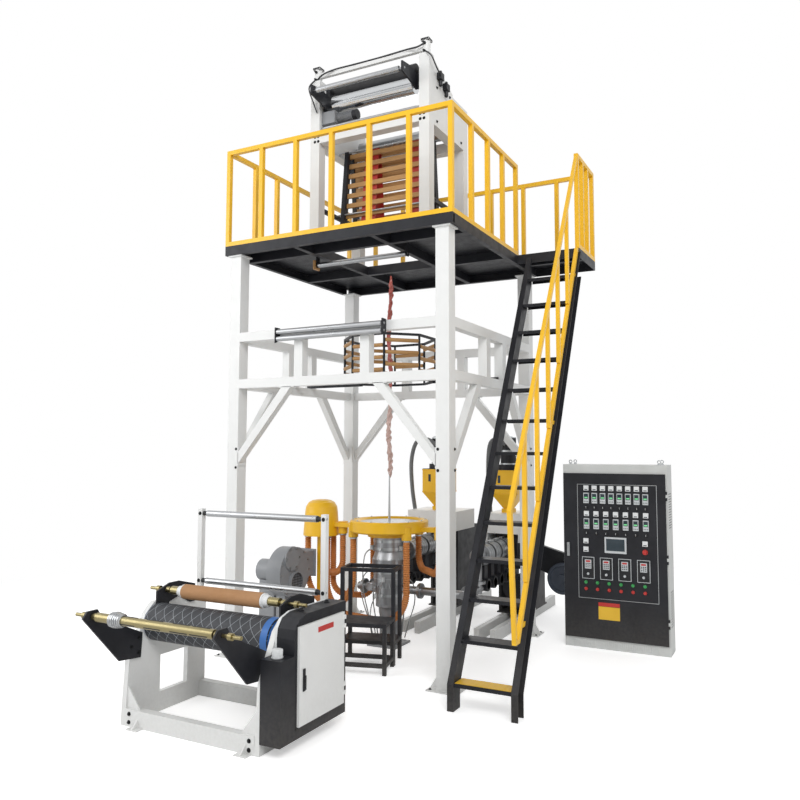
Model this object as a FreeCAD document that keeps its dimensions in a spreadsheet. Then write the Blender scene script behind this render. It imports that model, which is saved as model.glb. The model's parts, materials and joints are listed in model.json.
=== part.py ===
"""Blown film extrusion line: tower with haul-off, die and air ring, two
extruders, surface winder and control cabinet, as a parametric document.

The part stands on the floor.  The origin is on the floor under the centre
of the die, +X to the right, +Y to the back, +Z up, in millimetres.
"""

import FreeCAD
import Part

import math
import os

import Sketcher

DOC = FreeCAD.newDocument("BlownFilmLine")
SHEET = DOC.addObject("Spreadsheet::Sheet", "dims")
NODES = []


class Dim:
    """A number together with the sheet expression that it comes from."""

    def __init__(self, number, text):
        self.number = float(number)
        self.text = text

    def __add__(self, other):
        other = as_dim(other)
        return Dim(self.number + other.number, f"({self.text} + {other.text})")

    def __radd__(self, other):
        return as_dim(other) + self

    def __sub__(self, other):
        other = as_dim(other)
        return Dim(self.number - other.number, f"({self.text} - {other.text})")

    def __rsub__(self, other):
        return as_dim(other) - self

    def __mul__(self, other):
        other = as_dim(other)
        return Dim(self.number * other.number, f"({self.text} * {other.text})")

    def __rmul__(self, other):
        return as_dim(other) * self

    def __truediv__(self, other):
        other = as_dim(other)
        return Dim(self.number / other.number, f"({self.text} / {other.text})")

    def __neg__(self):
        return Dim(-self.number, f"(0 - {self.text})")


def as_dim(value):
    """Give a plain number the form of a Dim."""
    return value if isinstance(value, Dim) else Dim(value, repr(float(value)))


def size(alias, number, note):
    """Write one driving size into the sheet and return it."""
    line = size.line
    size.line += 1
    SHEET.set(f"A{line}", note)
    SHEET.set(f"B{line}", str(number))
    SHEET.setAlias(f"B{line}", alias)
    return Dim(number, f"dims.{alias}")


size.line = 1


def bind(thing, prop, value):
    """Tie a property of an object to an expression of sheet values."""
    thing.setExpression(prop, as_dim(value).text)


def place(thing, x, y, z):
    """Tie the position of an object."""
    bind(thing, "Placement.Base.x", x)
    bind(thing, "Placement.Base.y", y)
    bind(thing, "Placement.Base.z", z)


def box(x, y, z):
    """A block between two values on each axis."""
    solid = DOC.addObject("Part::Box", "Block")
    bind(solid, "Length", x[1] - x[0])
    bind(solid, "Width", y[1] - y[0])
    bind(solid, "Height", z[1] - z[0])
    place(solid, x[0], y[0], z[0])
    return solid


def bar(axis, centre, span, radius, lower=None):
    """A round bar, or a cone frustum when lower gives its first radius.

    axis is "X", "Y" or "Z"; centre holds the two other coordinates in
    X, Y, Z order and span the two ends along the axis.
    """
    if lower is None:
        solid = DOC.addObject("Part::Cylinder", "Round")
        bind(solid, "Radius", radius)
    else:
        solid = DOC.addObject("Part::Cone", "Taper")
        bind(solid, "Radius1", lower)
        bind(solid, "Radius2", radius)
    bind(solid, "Height", span[1] - span[0])
    if axis == "X":
        turn = FreeCAD.Rotation(FreeCAD.Vector(0, 1, 0), 90)
        spot = (span[0], centre[0], centre[1])
    elif axis == "Y":
        turn = FreeCAD.Rotation(FreeCAD.Vector(1, 0, 0), -90)
        spot = (centre[0], span[0], centre[1])
    else:
        turn = FreeCAD.Rotation()
        spot = (centre[0], centre[1], span[0])
    solid.Placement = FreeCAD.Placement(FreeCAD.Vector(), turn)
    place(solid, *spot)
    return solid


def cut(base, *tools):
    """Take the tools away from the base."""
    for tool in tools:
        result = DOC.addObject("Part::Cut", "Cut")
        result.Base = base
        result.Tool = tool
        base = result
    return base


def fuse(*solids):
    """Weld several solids into one."""
    result = DOC.addObject("Part::MultiFuse", "Weld")
    result.Shapes = list(solids)
    result.Refine = True
    return result


def tube_box(x, y, z, wall, along):
    """A square tube, open at both ends of the axis that along names."""
    inner = {
        "X": (x[0] + wall, x[1] - wall),
        "Y": (y[0] + wall, y[1] - wall),
        "Z": (z[0] + wall, z[1] - wall),
    }
    inner[along] = {"X": x, "Y": y, "Z": z}[along]
    return cut(box(x, y, z), box(inner["X"], inner["Y"], inner["Z"]))


def ring(axis, centre, span, outer, inner):
    """A round tube."""
    return cut(bar(axis, centre, span, outer), bar(axis, centre, span, inner))


def cone_box(centre, z, low_half, top_half):
    """A square block that tapers from one half width to another."""
    solid = DOC.addObject("Part::Wedge", "Taper")
    bind(solid, "Xmin", -low_half)
    bind(solid, "Xmax", low_half)
    bind(solid, "Zmin", -low_half)
    bind(solid, "Zmax", low_half)
    bind(solid, "X2min", -top_half)
    bind(solid, "X2max", top_half)
    bind(solid, "Z2min", -top_half)
    bind(solid, "Z2max", top_half)
    bind(solid, "Ymin", as_dim(0))
    bind(solid, "Ymax", z[1] - z[0])
    solid.Placement = FreeCAD.Placement(
        FreeCAD.Vector(), FreeCAD.Rotation(FreeCAD.Vector(1, 0, 0), 90))
    place(solid, centre[0], centre[1], z[0])
    return solid


def side_bar(turn, side, z, reach, radius):
    """A level bar at a distance from the Z axis, turned about that axis."""
    solid = DOC.addObject("Part::Cylinder", "Round")
    bind(solid, "Radius", radius)
    bind(solid, "Height", reach * 2)
    flat = FreeCAD.Rotation(FreeCAD.Vector(0, 1, 0), 90)
    solid.Placement = FreeCAD.Placement(
        FreeCAD.Vector(), FreeCAD.Rotation(FreeCAD.Vector(0, 0, 1), turn).multiply(flat))
    along, across = math.cos(math.radians(turn)), math.sin(math.radians(turn))
    place(solid, reach * -along - side * across, side * along - reach * across, z)
    return solid


def turned(solid, turn):
    """Turn a finished shape about the Z axis of the machine."""
    solid.Placement = FreeCAD.Placement(
        FreeCAD.Vector(), FreeCAD.Rotation(FreeCAD.Vector(0, 0, 1), turn))
    return solid


def revolved(points):
    """A body of revolution about the Z axis from half of its section."""
    body = DOC.addObject("PartDesign::Body", "Round")
    sketch = draw(body, "XZ_Plane", points)
    turn = body.newObject("PartDesign::Revolution", "Turned")
    turn.Profile = sketch
    turn.ReferenceAxis = (sketch, ["V_Axis"])
    turn.Angle = 360
    body.Tip = turn
    return body


def origin_plane(body, role):
    """The origin plane of a body, such as XY_Plane."""
    for feature in body.Origin.OriginFeatures:
        if feature.Role == role:
            return feature
    raise ValueError(role)


def draw(body, plane, points):
    """A closed sketch through points, each coordinate tied to the sheet."""
    sketch = body.newObject("Sketcher::SketchObject", "Outline")
    sketch.AttachmentSupport = (origin_plane(body, plane), [""])
    sketch.MapMode = "FlatFace"
    points = [(as_dim(u), as_dim(v)) for u, v in points]
    count = len(points)
    for index, (u, v) in enumerate(points):
        end = points[(index + 1) % count]
        sketch.addGeometry(Part.LineSegment(
            FreeCAD.Vector(u.number, v.number, 0),
            FreeCAD.Vector(end[0].number, end[1].number, 0)))
    for index in range(count):
        sketch.addConstraint(Sketcher.Constraint(
            "Coincident", index, 2, (index + 1) % count, 1))
    for index, (u, v) in enumerate(points):
        for kind, value in (("DistanceX", u), ("DistanceY", v)):
            number = sketch.addConstraint(Sketcher.Constraint(
                kind, -1, 1, index, 1, value.number))
            sketch.setExpression(f"Constraints[{number}]", value.text)
    return sketch


def plate(plane, points, span):
    """A body padded from an outline over a span along the plane's normal.

    plane is "XY", "XZ" or "YZ"; the span runs along +Z, +Y or +X.
    """
    body = DOC.addObject("PartDesign::Body", "Plate")
    sketch = draw(body, plane + "_Plane", points)
    pad = body.newObject("PartDesign::Pad", "Pad")
    pad.Profile = sketch
    bind(pad, "Length", span[1] - span[0])
    pad.Reversed = plane == "XZ"
    body.Tip = pad
    zero = as_dim(0)
    spot = {"XY": (zero, zero, span[0]), "XZ": (zero, span[0], zero), "YZ": (span[0], zero, zero)}
    place(body, *spot[plane])
    return body


def node(name, *pieces):
    """Name one sub-part of the machine, made of one or more solids."""
    if len(pieces) == 1:
        part = pieces[0]
    else:
        part = DOC.addObject("Part::Compound", "Group")
        part.Links = list(pieces)
    part.Label = name
    NODES.append(part)
    return part


def span_of(sign, near, far):
    """A span from near to far, mirrored to the left when sign is -1."""
    return (near, far) if sign > 0 else (-far, -near)


# Running and seating gaps
seat = size("seat_gap", 0.3, "gap between a round piece and its seat")
run = size("run_gap", 6, "clearance beside a turning piece")

# Tower
deck_top = size("deck_top", 3800, "walking height of the platform")
deck_thick = size("deck_thick", 6, "platform plate")
edge_high = size("edge_high", 84, "channel round the platform")
edge_wide = size("edge_wide", 45, "flange of that channel")
edge_wall = size("edge_wall", 6, "wall of that channel")
plat_x = size("plat_x", 1185, "half width of the platform")
plat_y = size("plat_y", 1084, "half depth of the platform")
col_x = size("col_x", 1137, "outer face of the columns, sideways")
col_y = size("col_y", 1054, "outer face of the columns, front and back")
col_wide = size("col_wide", 120, "column tube")
col_wall = size("col_wall", 6, "column wall")
cap_thick = size("cap_thick", 12, "cap and base plates")
cap_over = size("cap_over", 20, "cap plate past the column")
base_over_x = size("base_over_x", 74, "base plate past the column, sideways")
base_over_y = size("base_over_y", 43, "base plate past the column, in depth")
gusset_high = size("gusset_high", 130, "gusset on the base plate")
gusset_thick = size("gusset_thick", 10, "gusset plate")
beam_wide = size("beam_wide", 84, "ring beam tube")
beam_wall = size("beam_wall", 4, "ring beam wall")
ring_low = size("ring_low", 2446, "underside of the lower ring")
ring_high = size("ring_high", 2883, "underside of the upper ring")
post_wide = size("post_wide", 90, "short posts between the rings")
post_front = size("post_front", 345, "ring posts from the middle, front and back")
post_side = size("post_side", 200, "ring posts from the middle, sides")
brace_x = size("brace_x", 420, "top of the knee braces from the middle")
brace_y = size("brace_y", 370, "the same on the sides")
brace_low = size("brace_low", 1745, "foot of the knee braces")
brace_wide = size("brace_wide", 70, "knee brace tube")

frame_top = deck_top - deck_thick
frame_low = frame_top - edge_high
col_top = frame_low - cap_thick
col_in_x = col_x - col_wide
col_in_y = col_y - col_wide
col_mid_x = col_x - col_wide / 2
col_mid_y = col_y - col_wide / 2
ring_low_top = ring_low + beam_wide
ring_high_top = ring_high + beam_wide


def corners():
    """The four signs of a symmetrical plan."""
    return [(sx, sy) for sx in (-1, 1) for sy in (-1, 1)]


columns = []
for sx, sy in corners():
    x = span_of(sx, col_in_x, col_x)
    y = span_of(sy, col_in_y, col_y)
    post = tube_box(x, y, (cap_thick, col_top), col_wall, "Z")
    foot = box(
        span_of(sx, col_in_x - base_over_x, col_x + base_over_x),
        span_of(sy, col_in_y - base_over_y, col_y + base_over_y),
        (as_dim(0), cap_thick))
    cap = box(
        span_of(sx, col_in_x - cap_over, col_x + cap_over),
        span_of(sy, col_in_y - cap_over, col_y + cap_over),
        (col_top, frame_low))
    mid = col_mid_y if sy > 0 else -col_mid_y
    depth = (mid - gusset_thick / 2, mid + gusset_thick / 2)
    fins = []
    for face, tip in ((col_in_x, col_in_x - base_over_x), (col_x, col_x + base_over_x)):
        face = face if sx > 0 else -face
        tip = tip if sx > 0 else -tip
        fins.append(plate("XZ", [(face, cap_thick), (tip, cap_thick), (face, gusset_high)], depth))
    columns.append(fuse(foot, post, cap, *fins))
node("tower_columns", *columns)

rings = []
for low, top in ((ring_low, ring_low_top), (ring_high, ring_high_top)):
    for sign in (-1, 1):
        y = span_of(sign, col_y - beam_wide, col_y)
        rings.append(tube_box((-col_in_x, col_in_x), y, (low, top), beam_wall, "X"))
        x = span_of(sign, col_x - beam_wide, col_x)
        rings.append(tube_box(x, (-col_in_y, col_in_y), (low, top), beam_wall, "Y"))
node("ring_beams", *rings)

posts = []
for sx, sy in corners():
    mid = post_front if sx > 0 else -post_front
    x = (mid - post_wide / 2, mid + post_wide / 2)
    y = span_of(sy, col_y - beam_wide, col_y)
    posts.append(tube_box(x, y, (ring_low_top, ring_high), beam_wall, "Z"))
    mid = post_side if sy > 0 else -post_side
    y = (mid - post_wide / 2, mid + post_wide / 2)
    x = span_of(sx, col_x - beam_wide, col_x)
    posts.append(tube_box(x, y, (ring_low_top, ring_high), beam_wall, "Z"))
node("ring_posts", *posts)

# A knee brace is a slanted tube between the column and the lower ring, with
# its ends cut square to both.
braces = []
brace_cut = brace_wide * 1.45
for sx, sy in corners():
    inner = col_in_x if sx > 0 else -col_in_x
    top_in = brace_x if sx > 0 else -brace_x
    top_out = brace_x + brace_cut if sx > 0 else -(brace_x + brace_cut)
    low = brace_low
    outline = [(inner, low), (inner, low + brace_cut), (top_out, ring_low), (top_in, ring_low)]
    y = span_of(sy, col_y - brace_wide, col_y)
    braces.append(plate("XZ", outline, y))
    inner = col_in_y if sy > 0 else -col_in_y
    top_in = brace_y if sy > 0 else -brace_y
    top_out = brace_y + brace_cut if sy > 0 else -(brace_y + brace_cut)
    outline = [(inner, low), (inner, low + brace_cut), (top_out, ring_low), (top_in, ring_low)]
    x = span_of(sx, col_x - brace_wide, col_x)
    braces.append(plate("YZ", outline, x))
node("knee_braces", *braces)

# Platform: channels round the edge, joists beside the film opening and a
# chequered plate with the opening cut out.
slot_x = size("slot_x", 380, "half width of the film opening")
slot_front = size("slot_front", 720, "front of the film opening, before the middle")
slot_back = size("slot_back", 200, "back of the film opening")
land_x = size("land_x", 620, "width of the landing")
land_front = size("land_front", 466, "front edge of the landing")
joist_wide = size("joist_wide", 50, "joist flange")


def channel_x(x, y, z, open_up):
    """A channel along X whose open side faces the middle of the platform."""
    inner = (y[0] + edge_wall, y[1]) if open_up > 0 else (y[0], y[1] - edge_wall)
    return cut(box(x, y, z), box(x, inner, (z[0] + edge_wall, z[1] - edge_wall)))


def channel_y(x, y, z, open_up):
    """A channel along Y whose open side faces the middle of the platform."""
    inner = (x[0] + edge_wall, x[1]) if open_up > 0 else (x[0], x[1] - edge_wall)
    return cut(box(x, y, z), box(inner, y, (z[0] + edge_wall, z[1] - edge_wall)))


frame_z = (frame_low, frame_top)
edge_in_x = plat_x - edge_wide
edge_in_y = plat_y - edge_wide
members = [
    channel_x((-plat_x, plat_x), (-plat_y, -edge_in_y), frame_z, 1),
    channel_x((-plat_x, plat_x), (edge_in_y, plat_y), frame_z, -1),
    channel_y((-plat_x, -edge_in_x), (-edge_in_y + seat, edge_in_y - seat), frame_z, 1),
    channel_y((edge_in_x, plat_x), (-edge_in_y + seat, edge_in_y - seat), frame_z, -1),
]
for sign in (-1, 1):
    x = span_of(sign, slot_x, slot_x + joist_wide)
    members.append(box(x, (-edge_in_y + seat, edge_in_y - seat), frame_z))
for y in ((-slot_front - joist_wide, -slot_front), (slot_back, slot_back + joist_wide)):
    members.append(box((-slot_x + seat, slot_x - seat), y, frame_z))
    for sign in (-1, 1):
        x = span_of(sign, slot_x + joist_wide + seat, edge_in_x - seat)
        members.append(box(x, y, frame_z))
node("platform_frame", *members)
node("platform_deck", cut(
    box((-plat_x, plat_x), (-plat_y, plat_y), (frame_top, deck_top)),
    box((-slot_x, slot_x), (-slot_front, slot_back), (frame_top, deck_top))))

# Landing at the head of the stair
land_right = plat_x + land_x
land_z = frame_z
landing = fuse(
    box((plat_x, land_right), (land_front, plat_y), (frame_top, deck_top)),
    box((plat_x, land_right), (land_front, land_front + edge_wall), land_z),
    box((plat_x, land_right), (plat_y - edge_wall, plat_y), land_z),
    box((land_right - edge_wall, land_right), (land_front, plat_y), land_z),
    box((plat_x, land_right), (land_front + (plat_y - land_front) / 2 - 25,
                               land_front + (plat_y - land_front) / 2 + 25),
        (frame_top - 40, frame_top)))
node("stair_landing", landing)

# Railings of square tube
rail_high = size("rail_high", 930, "top of the railing above the deck")
rail_wide = size("rail_wide", 40, "railing tube")
rail_gap = size("rail_gap", 2, "weld gap between two railings")


def railing_x(x, y_mid, bays, left_post=True, right_post=True):
    """A railing along X with posts at equal bays between two rails."""
    y = (y_mid - rail_wide / 2, y_mid + rail_wide / 2)
    top = deck_top + rail_high
    members = [
        box(x, y, (deck_top, deck_top + rail_wide)),
        box(x, y, (top - rail_wide, top)),
    ]
    pitch = (x[1] - x[0] - rail_wide) / bays
    for index in range(bays + 1):
        if (index == 0 and not left_post) or (index == bays and not right_post):
            continue
        start = x[0] + pitch * index
        members.append(box((start, start + rail_wide), y, (deck_top, top)))
    return fuse(*members)


def railing_y(x_mid, y, bays, front_post=True, back_post=True):
    """A railing along Y with posts at equal bays between two rails."""
    x = (x_mid - rail_wide / 2, x_mid + rail_wide / 2)
    top = deck_top + rail_high
    members = [
        box(x, y, (deck_top, deck_top + rail_wide)),
        box(x, y, (top - rail_wide, top)),
    ]
    pitch = (y[1] - y[0] - rail_wide) / bays
    for index in range(bays + 1):
        if (index == 0 and not front_post) or (index == bays and not back_post):
            continue
        start = y[0] + pitch * index
        members.append(box(x, (start, start + rail_wide), (deck_top, top)))
    return fuse(*members)


rail_x = plat_x - rail_wide / 2
rail_y = plat_y - rail_wide / 2
inner_y = (-plat_y + rail_wide, plat_y - rail_wide)
node("front_and_back_railings",
     railing_x((-plat_x, plat_x), -rail_y, 6),
     railing_x((-plat_x, land_right), rail_y, 8))
node("side_railings",
     railing_y(-rail_x, inner_y, 6, False, False),
     railing_y(rail_x, (-plat_y + rail_wide, land_front + rail_wide), 4, False),
     railing_y(land_right - rail_wide / 2, (land_front, plat_y - rail_wide), 3, True, False))

# Stair: two channel stringers with a short upright foot, thirteen treads
stair_left = size("stair_left", 1280, "left face of the stair")
stair_wide = size("stair_wide", 540, "width over the stringers")
stringer_wide = size("stringer_wide", 50, "stringer flange")
stringer_wall = size("stringer_wall", 6, "stringer wall")
stringer_deep = size("stringer_deep", 135, "stringer depth, level")
foot_front = size("foot_front", -1418, "front of the stringer foot")
foot_deep = size("foot_deep", 121, "depth of the stringer foot")
kink = size("kink", 190, "height of the bend above the foot")
tread_first = size("tread_first", 200, "top of the first tread")
tread_count = 13
tread_deep = size("tread_deep", 147, "tread from front to back")
tread_thick = size("tread_thick", 28, "edge of the folded tread")
tread_wall = size("tread_wall", 4, "tread plate")
riser = (deck_top - tread_first) / tread_count
slope = size("stair_slope", 0.5273, "level run for each unit of rise")


def stringer_outline(shrink):
    """The stringer seen from the side, or its inside when shrink is on."""
    wall = stringer_wall if shrink else as_dim(0)
    slant = wall * 1.13
    front = foot_front + wall
    back = foot_front + foot_deep - wall
    end = land_front + (0 if not shrink else 1)
    top_front = kink + (end - front - slant + wall) / slope
    lean_back = foot_front + stringer_deep - slant
    top_back = kink + (end - lean_back) / slope
    kink_back = kink - (lean_back - back) / slope
    floor = as_dim(0) if not shrink else as_dim(-1)
    return [(front, floor), (back, floor), (back, kink_back), (end, top_back), (end, top_front), (front, kink)]


stair_right = stair_left + stair_wide
left_web = (stair_left, stair_left + stringer_wide)
right_web = (stair_right - stringer_wide, stair_right)
node(
    "stair_stringers",
    cut(plate("YZ", stringer_outline(False), left_web),
        plate("YZ", stringer_outline(True), (left_web[0] - 1, left_web[1] - stringer_wall))),
    cut(plate("YZ", stringer_outline(False), right_web),
        plate("YZ", stringer_outline(True), (right_web[0] + stringer_wall, right_web[1] + 1))),
)
treads = []
for index in range(tread_count):
    top = tread_first + riser * index
    front = foot_front + 3 + (top - kink) * slope
    y = (front, front + tread_deep)
    x = (left_web[1], right_web[0])
    tread = cut(
        box(x, y, (top - tread_thick, top)),
        box(x, (y[0] + tread_wall, y[1] - tread_wall), (top - tread_thick, top - tread_wall)))
    treads.append(tread)
node("stair_treads", *treads)

# Handrail: a bent upper rail, a lower rail on tabs before the right stringer
# and five upright bars between them
hand_wide = size("hand_wide", 32, "handrail tube")
hand_rise = size("hand_rise", 910, "handrail above the deck at the landing")
hand_slope = size("hand_slope", 0.5953, "level run of the handrail for each unit of rise")
hand_bend = size("hand_bend", 1456, "bend at the lower end of the handrail")
hand_low = size("hand_low", 515, "foot of the handrail")
hand_back = size("hand_back", 81, "foot of the handrail behind its bend")
low_rail_slope = size("low_rail_slope", 0.54, "level run of the lower rail for each unit of rise")
low_rail_out = size("low_rail_out", 41, "lower rail before the landing")
baluster_first = size("baluster_first", 376, "first baluster before the landing")
baluster_pitch = size("baluster_pitch", 308, "distance of the balusters")
hand_mid = land_right - rail_wide / 2
hand_x = (hand_mid - hand_wide / 2, hand_mid + hand_wide / 2)
hand_top = deck_top + hand_rise
hand_front = land_front - (hand_top - hand_bend) * hand_slope
low_top = deck_top - 10
low_rail_y = land_front - low_rail_out
SLANT_UP = 1.955
SLANT_LEVEL = 1.16


def stringer_front(z):
    """The front edge of the stringer at a height."""
    return foot_front + (z - kink) * slope


def low_rail_front(z):
    """The front edge of the lower rail at a height."""
    return low_rail_y - (low_top - z) * low_rail_slope


members = [plate("YZ", [
    (hand_front, hand_bend),
    (hand_front + hand_back, hand_low),
    (hand_front + hand_back + hand_wide, hand_low),
    (hand_front + hand_wide * SLANT_LEVEL, hand_bend - hand_wide / 4),
    (land_front, hand_top - hand_wide * SLANT_UP),
    (land_front, hand_top),
], hand_x), plate("YZ", [
    (low_rail_front(hand_low), hand_low),
    (low_rail_front(hand_low) + hand_wide * SLANT_LEVEL, hand_low),
    (low_rail_y + hand_wide * SLANT_LEVEL, low_top),
    (low_rail_y, low_top),
], hand_x), box(
    hand_x, (hand_front + hand_back, low_rail_front(hand_low) + hand_wide),
    (hand_low, hand_low + hand_wide))]
for index in range(5):
    front = land_front - baluster_first - baluster_pitch * index
    foot = low_top - (low_rail_y - front - hand_wide) / low_rail_slope
    head = hand_top - (land_front - front) / hand_slope - hand_wide / 2
    members.append(box(hand_x, (front, front + hand_wide), (foot - hand_wide, head)))
for low in (kink + 420, kink + 1900, kink + 3300):
    high = low + hand_wide
    members.append(plate("YZ", [
        (low_rail_front(low) + hand_wide / 2, low), (stringer_front(low), low),
        (stringer_front(high), high), (low_rail_front(high) + hand_wide / 2, high)], hand_x))
node("stair_handrail", fuse(*members))

# Haul-off: four posts, a ring of beams, side panels and the nip rolls
haul_x = size("haul_x", 665, "outer face of the haul-off posts")
haul_front = size("haul_front", -456, "front face of the haul-off")
haul_back = size("haul_back", 434, "back face of the haul-off")
haul_wide = size("haul_wide", 105, "haul-off post")
haul_wall = size("haul_wall", 5, "haul-off post wall")
haul_beam_low = deck_top + size("haul_beam_up", 1130, "front beam above the deck")
haul_beam_high = size("haul_beam_high", 100, "height of the front beam")
haul_side_low = haul_beam_low - 10
haul_side_top = haul_side_low + size("haul_side_high", 440, "height of the side panels")
haul_front_top = haul_side_top + size("haul_front_up", 200, "front posts above the side panels")
crest_back = size("crest_back", 70, "back end of the sloped crest plates")
crest_thick = size("crest_thick", 12, "crest plate")

haul_in = haul_x - haul_wide
haul_posts = []
for sign in (-1, 1):
    x = span_of(sign, haul_in, haul_x)
    haul_posts.append(tube_box(x, (haul_front, haul_front + haul_wide), (deck_top, haul_front_top), haul_wall, "Z"))
    haul_posts.append(tube_box(x, (haul_back - haul_wide, haul_back), (deck_top, haul_side_top), haul_wall, "Z"))
node("haul_off_posts", *haul_posts)
haul_inner_y = (haul_front + haul_wide, haul_back - haul_wide)
beam_z = (haul_beam_low, haul_beam_low + haul_beam_high)
haul_beams = []
for sign in (-1, 1):
    x = span_of(sign, haul_in, haul_x)
    haul_beams.append(tube_box(x, haul_inner_y, (haul_side_low, haul_side_top), haul_wall, "Y"))
for y in ((haul_front, haul_front + haul_wide), (haul_back - haul_wide, haul_back)):
    haul_beams.append(tube_box((-haul_in, haul_in), y, beam_z, haul_wall, "X"))
for sign in (-1, 1):
    x = span_of(sign, haul_x - crest_thick, haul_x)
    haul_beams.append(plate("YZ", [
        (haul_inner_y[0], haul_side_top), (haul_inner_y[0], haul_front_top - 4),
        (crest_back, haul_side_top + 24), (crest_back, haul_side_top)], x))
node("haul_off_beams", *haul_beams)

# Nip station: a chrome roll in fixed bearings and a rubber roll above it in
# blocks that two cylinders press down.
nip_y = size("nip_y", -330, "axis of the chrome roll")
nip_z = haul_side_top - size("nip_drop", 5, "chrome roll below the side panels' top")
nip_r = size("nip_r", 82, "radius of the chrome roll")
rub_r = size("rub_r", 75, "radius of the rubber roll")
rub_lean = size("rub_lean", 45, "rubber roll set back from the chrome roll")
roll_half = size("roll_half", 452, "half length of the roll faces")
journal_r = size("journal_r", 22, "roll journals")
bearing_half = size("bearing_half", 25, "half width of a bearing block")
rub_rise = size("rub_rise", 158, "rubber roll above the chrome roll")
rub_y = nip_y + rub_lean
rub_z = nip_z + rub_rise
bearing_x = (haul_in - 2 * bearing_half, haul_in)


def roll(y, z, radius, half, neck, reach):
    """A roll along X with a journal at each end."""
    return fuse(
        bar("X", (y, z), (-half, half), radius),
        bar("X", (y, z), (-reach, reach), neck))


def holed_block(x, y, z, at, hole):
    """A block with a hole along X at a point (y, z)."""
    return cut(box(x, y, z), bar("X", at, x, hole))


node("nip_chrome_roll", roll(nip_y, nip_z, nip_r, roll_half, journal_r, haul_in - seat))
node("nip_rubber_roll", roll(rub_y, rub_z, rub_r, roll_half, journal_r, haul_in - seat))
bearings = []
for sign in (-1, 1):
    x = span_of(sign, bearing_x[0], bearing_x[1])
    bearings.append(holed_block(
        x, (nip_y - 62, nip_y + 62), (nip_z - 70, nip_z + 70), (nip_y, nip_z), journal_r + seat))
slide_low = nip_z + 70 + seat
for sign in (-1, 1):
    x = span_of(sign, bearing_x[0], bearing_x[1])
    bearings.append(holed_block(
        x, (rub_y - 62, rub_y + 62), (slide_low, rub_z + 60), (rub_y, rub_z), journal_r + seat))
node("nip_bearings", *bearings)

# Black side arms that reach forward and carry the upper guide roll
arm_thick = size("arm_thick", 16, "side arm plate")
guide_y = size("guide_y", -650, "upper guide roll")
guide_z = nip_z + size("guide_up", 15, "upper guide roll above the chrome roll")
guide_r = size("guide_r", 27, "radius of the upper guide roll")
guide_half = size("guide_half", 455, "half length of the upper guide roll")
pin_r = size("pin_r", 10, "guide roll shaft ends")
arm_in = haul_in - 2 * bearing_half - arm_thick
arm_back = nip_y - journal_r - run
arms = []
for sign in (-1, 1):
    x = span_of(sign, arm_in, arm_in + arm_thick)
    outline = [
        (guide_y - 40, guide_z - 45),
        (guide_y + 120, guide_z - 70),
        (nip_y - 68, nip_z - 85),
        (arm_back, nip_z - 60),
        (arm_back, nip_z + 60),
        (guide_y + 130, guide_z + 75),
        (guide_y - 40, guide_z + 50),
    ]
    arms.append(cut(plate("YZ", outline, x), bar("X", (guide_y, guide_z), x, pin_r + seat)))
node("nip_side_arms", *arms)
node("upper_guide_roll", roll(guide_y, guide_z, guide_r, guide_half, pin_r, arm_in + arm_thick + 2))

# Nip cylinders on the front posts, the bar between them and its hose clips
cyl_r = size("cyl_r", 42, "nip cylinder")
cyl_high = size("cyl_high", 150, "height of the nip cylinder")
tie_up = size("tie_up", 65, "tie bar above the front posts")
tie_wide = size("tie_wide", 36, "tie bar")
tie_z = haul_front_top + tie_up
cyl_y = haul_front + haul_wide / 2
cyl_x = haul_x - haul_wide / 2
cylinders = []
for sign in (-1, 1):
    at = (cyl_x if sign > 0 else -cyl_x, cyl_y)
    z = (haul_front_top, haul_front_top + cyl_high)
    half = haul_wide / 2
    square = box((at[0] - half, at[0] + half), (cyl_y - half, cyl_y + half), (z[0], z[0] + 25))
    cap = box((at[0] - cyl_r, at[0] + cyl_r), (cyl_y - cyl_r, cyl_y + cyl_r), (z[1], z[1] + 25))
    cylinders.append(fuse(square, bar("Z", at, z, cyl_r - 4), cap))
tie_x = cyl_x - 10
tie_bar = box((-tie_x, tie_x), (cyl_y - tie_wide / 2, cyl_y + tie_wide / 2), (tie_z, tie_z + tie_wide))
node("nip_cylinders", fuse(*cylinders, tie_bar))

# Rear guide roll between the rear posts
rear_z = haul_side_low + size("rear_up", 180, "rear guide roll above the panels' underside")
rear_r = size("rear_r", 72, "radius of the rear guide roll")
rear_y = haul_back - haul_wide - rear_r - run
rear_half = haul_in - 60
node("rear_guide_roll", roll(rear_y, rear_z, rear_r, rear_half, journal_r, haul_in - seat))

# Gear motor of the chrome roll, on the left post below the roll
gear_case = size("gear_case", 130, "haul-off gear case")
haul_motor_r = size("haul_motor_r", 48, "haul-off motor")
haul_motor_long = size("haul_motor_long", 230, "length of the haul-off motor")
gear_right = gear_case * 1.2 - haul_in
gear_top = nip_z - nip_r - 2 * run
motors = [fuse(
    box((-haul_in, gear_right), (haul_inner_y[0] - gear_case / 2, haul_inner_y[0] + gear_case / 2),
        (gear_top - gear_case, gear_top)),
    bar("X", (haul_inner_y[0], gear_top - gear_case / 2), (gear_right, gear_right + haul_motor_long),
        haul_motor_r))]

# Collapsing boards: wooden slats on red rails between two black uprights
board_top = deck_top + size("board_up", 1100, "top slat above the deck")
board_low = deck_top + size("board_low_up", 350, "lowest slat above the deck")
board_half = size("board_half", 440, "half width of the slats")
board_y_top = size("board_y_top", -72, "front board at its top")
board_y_low = size("board_y_low", -150, "front board at its foot")
board_gap = size("board_gap", 60, "gap between the boards at the top")
slat_high = size("slat_high", 46, "slat height")
slat_thick = size("slat_thick", 22, "slat thickness")
slat_count = 8
slat_pitch = (board_top - board_low) / (slat_count - 1)
lean = (board_y_top - board_y_low) / (board_top - board_low)


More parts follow.
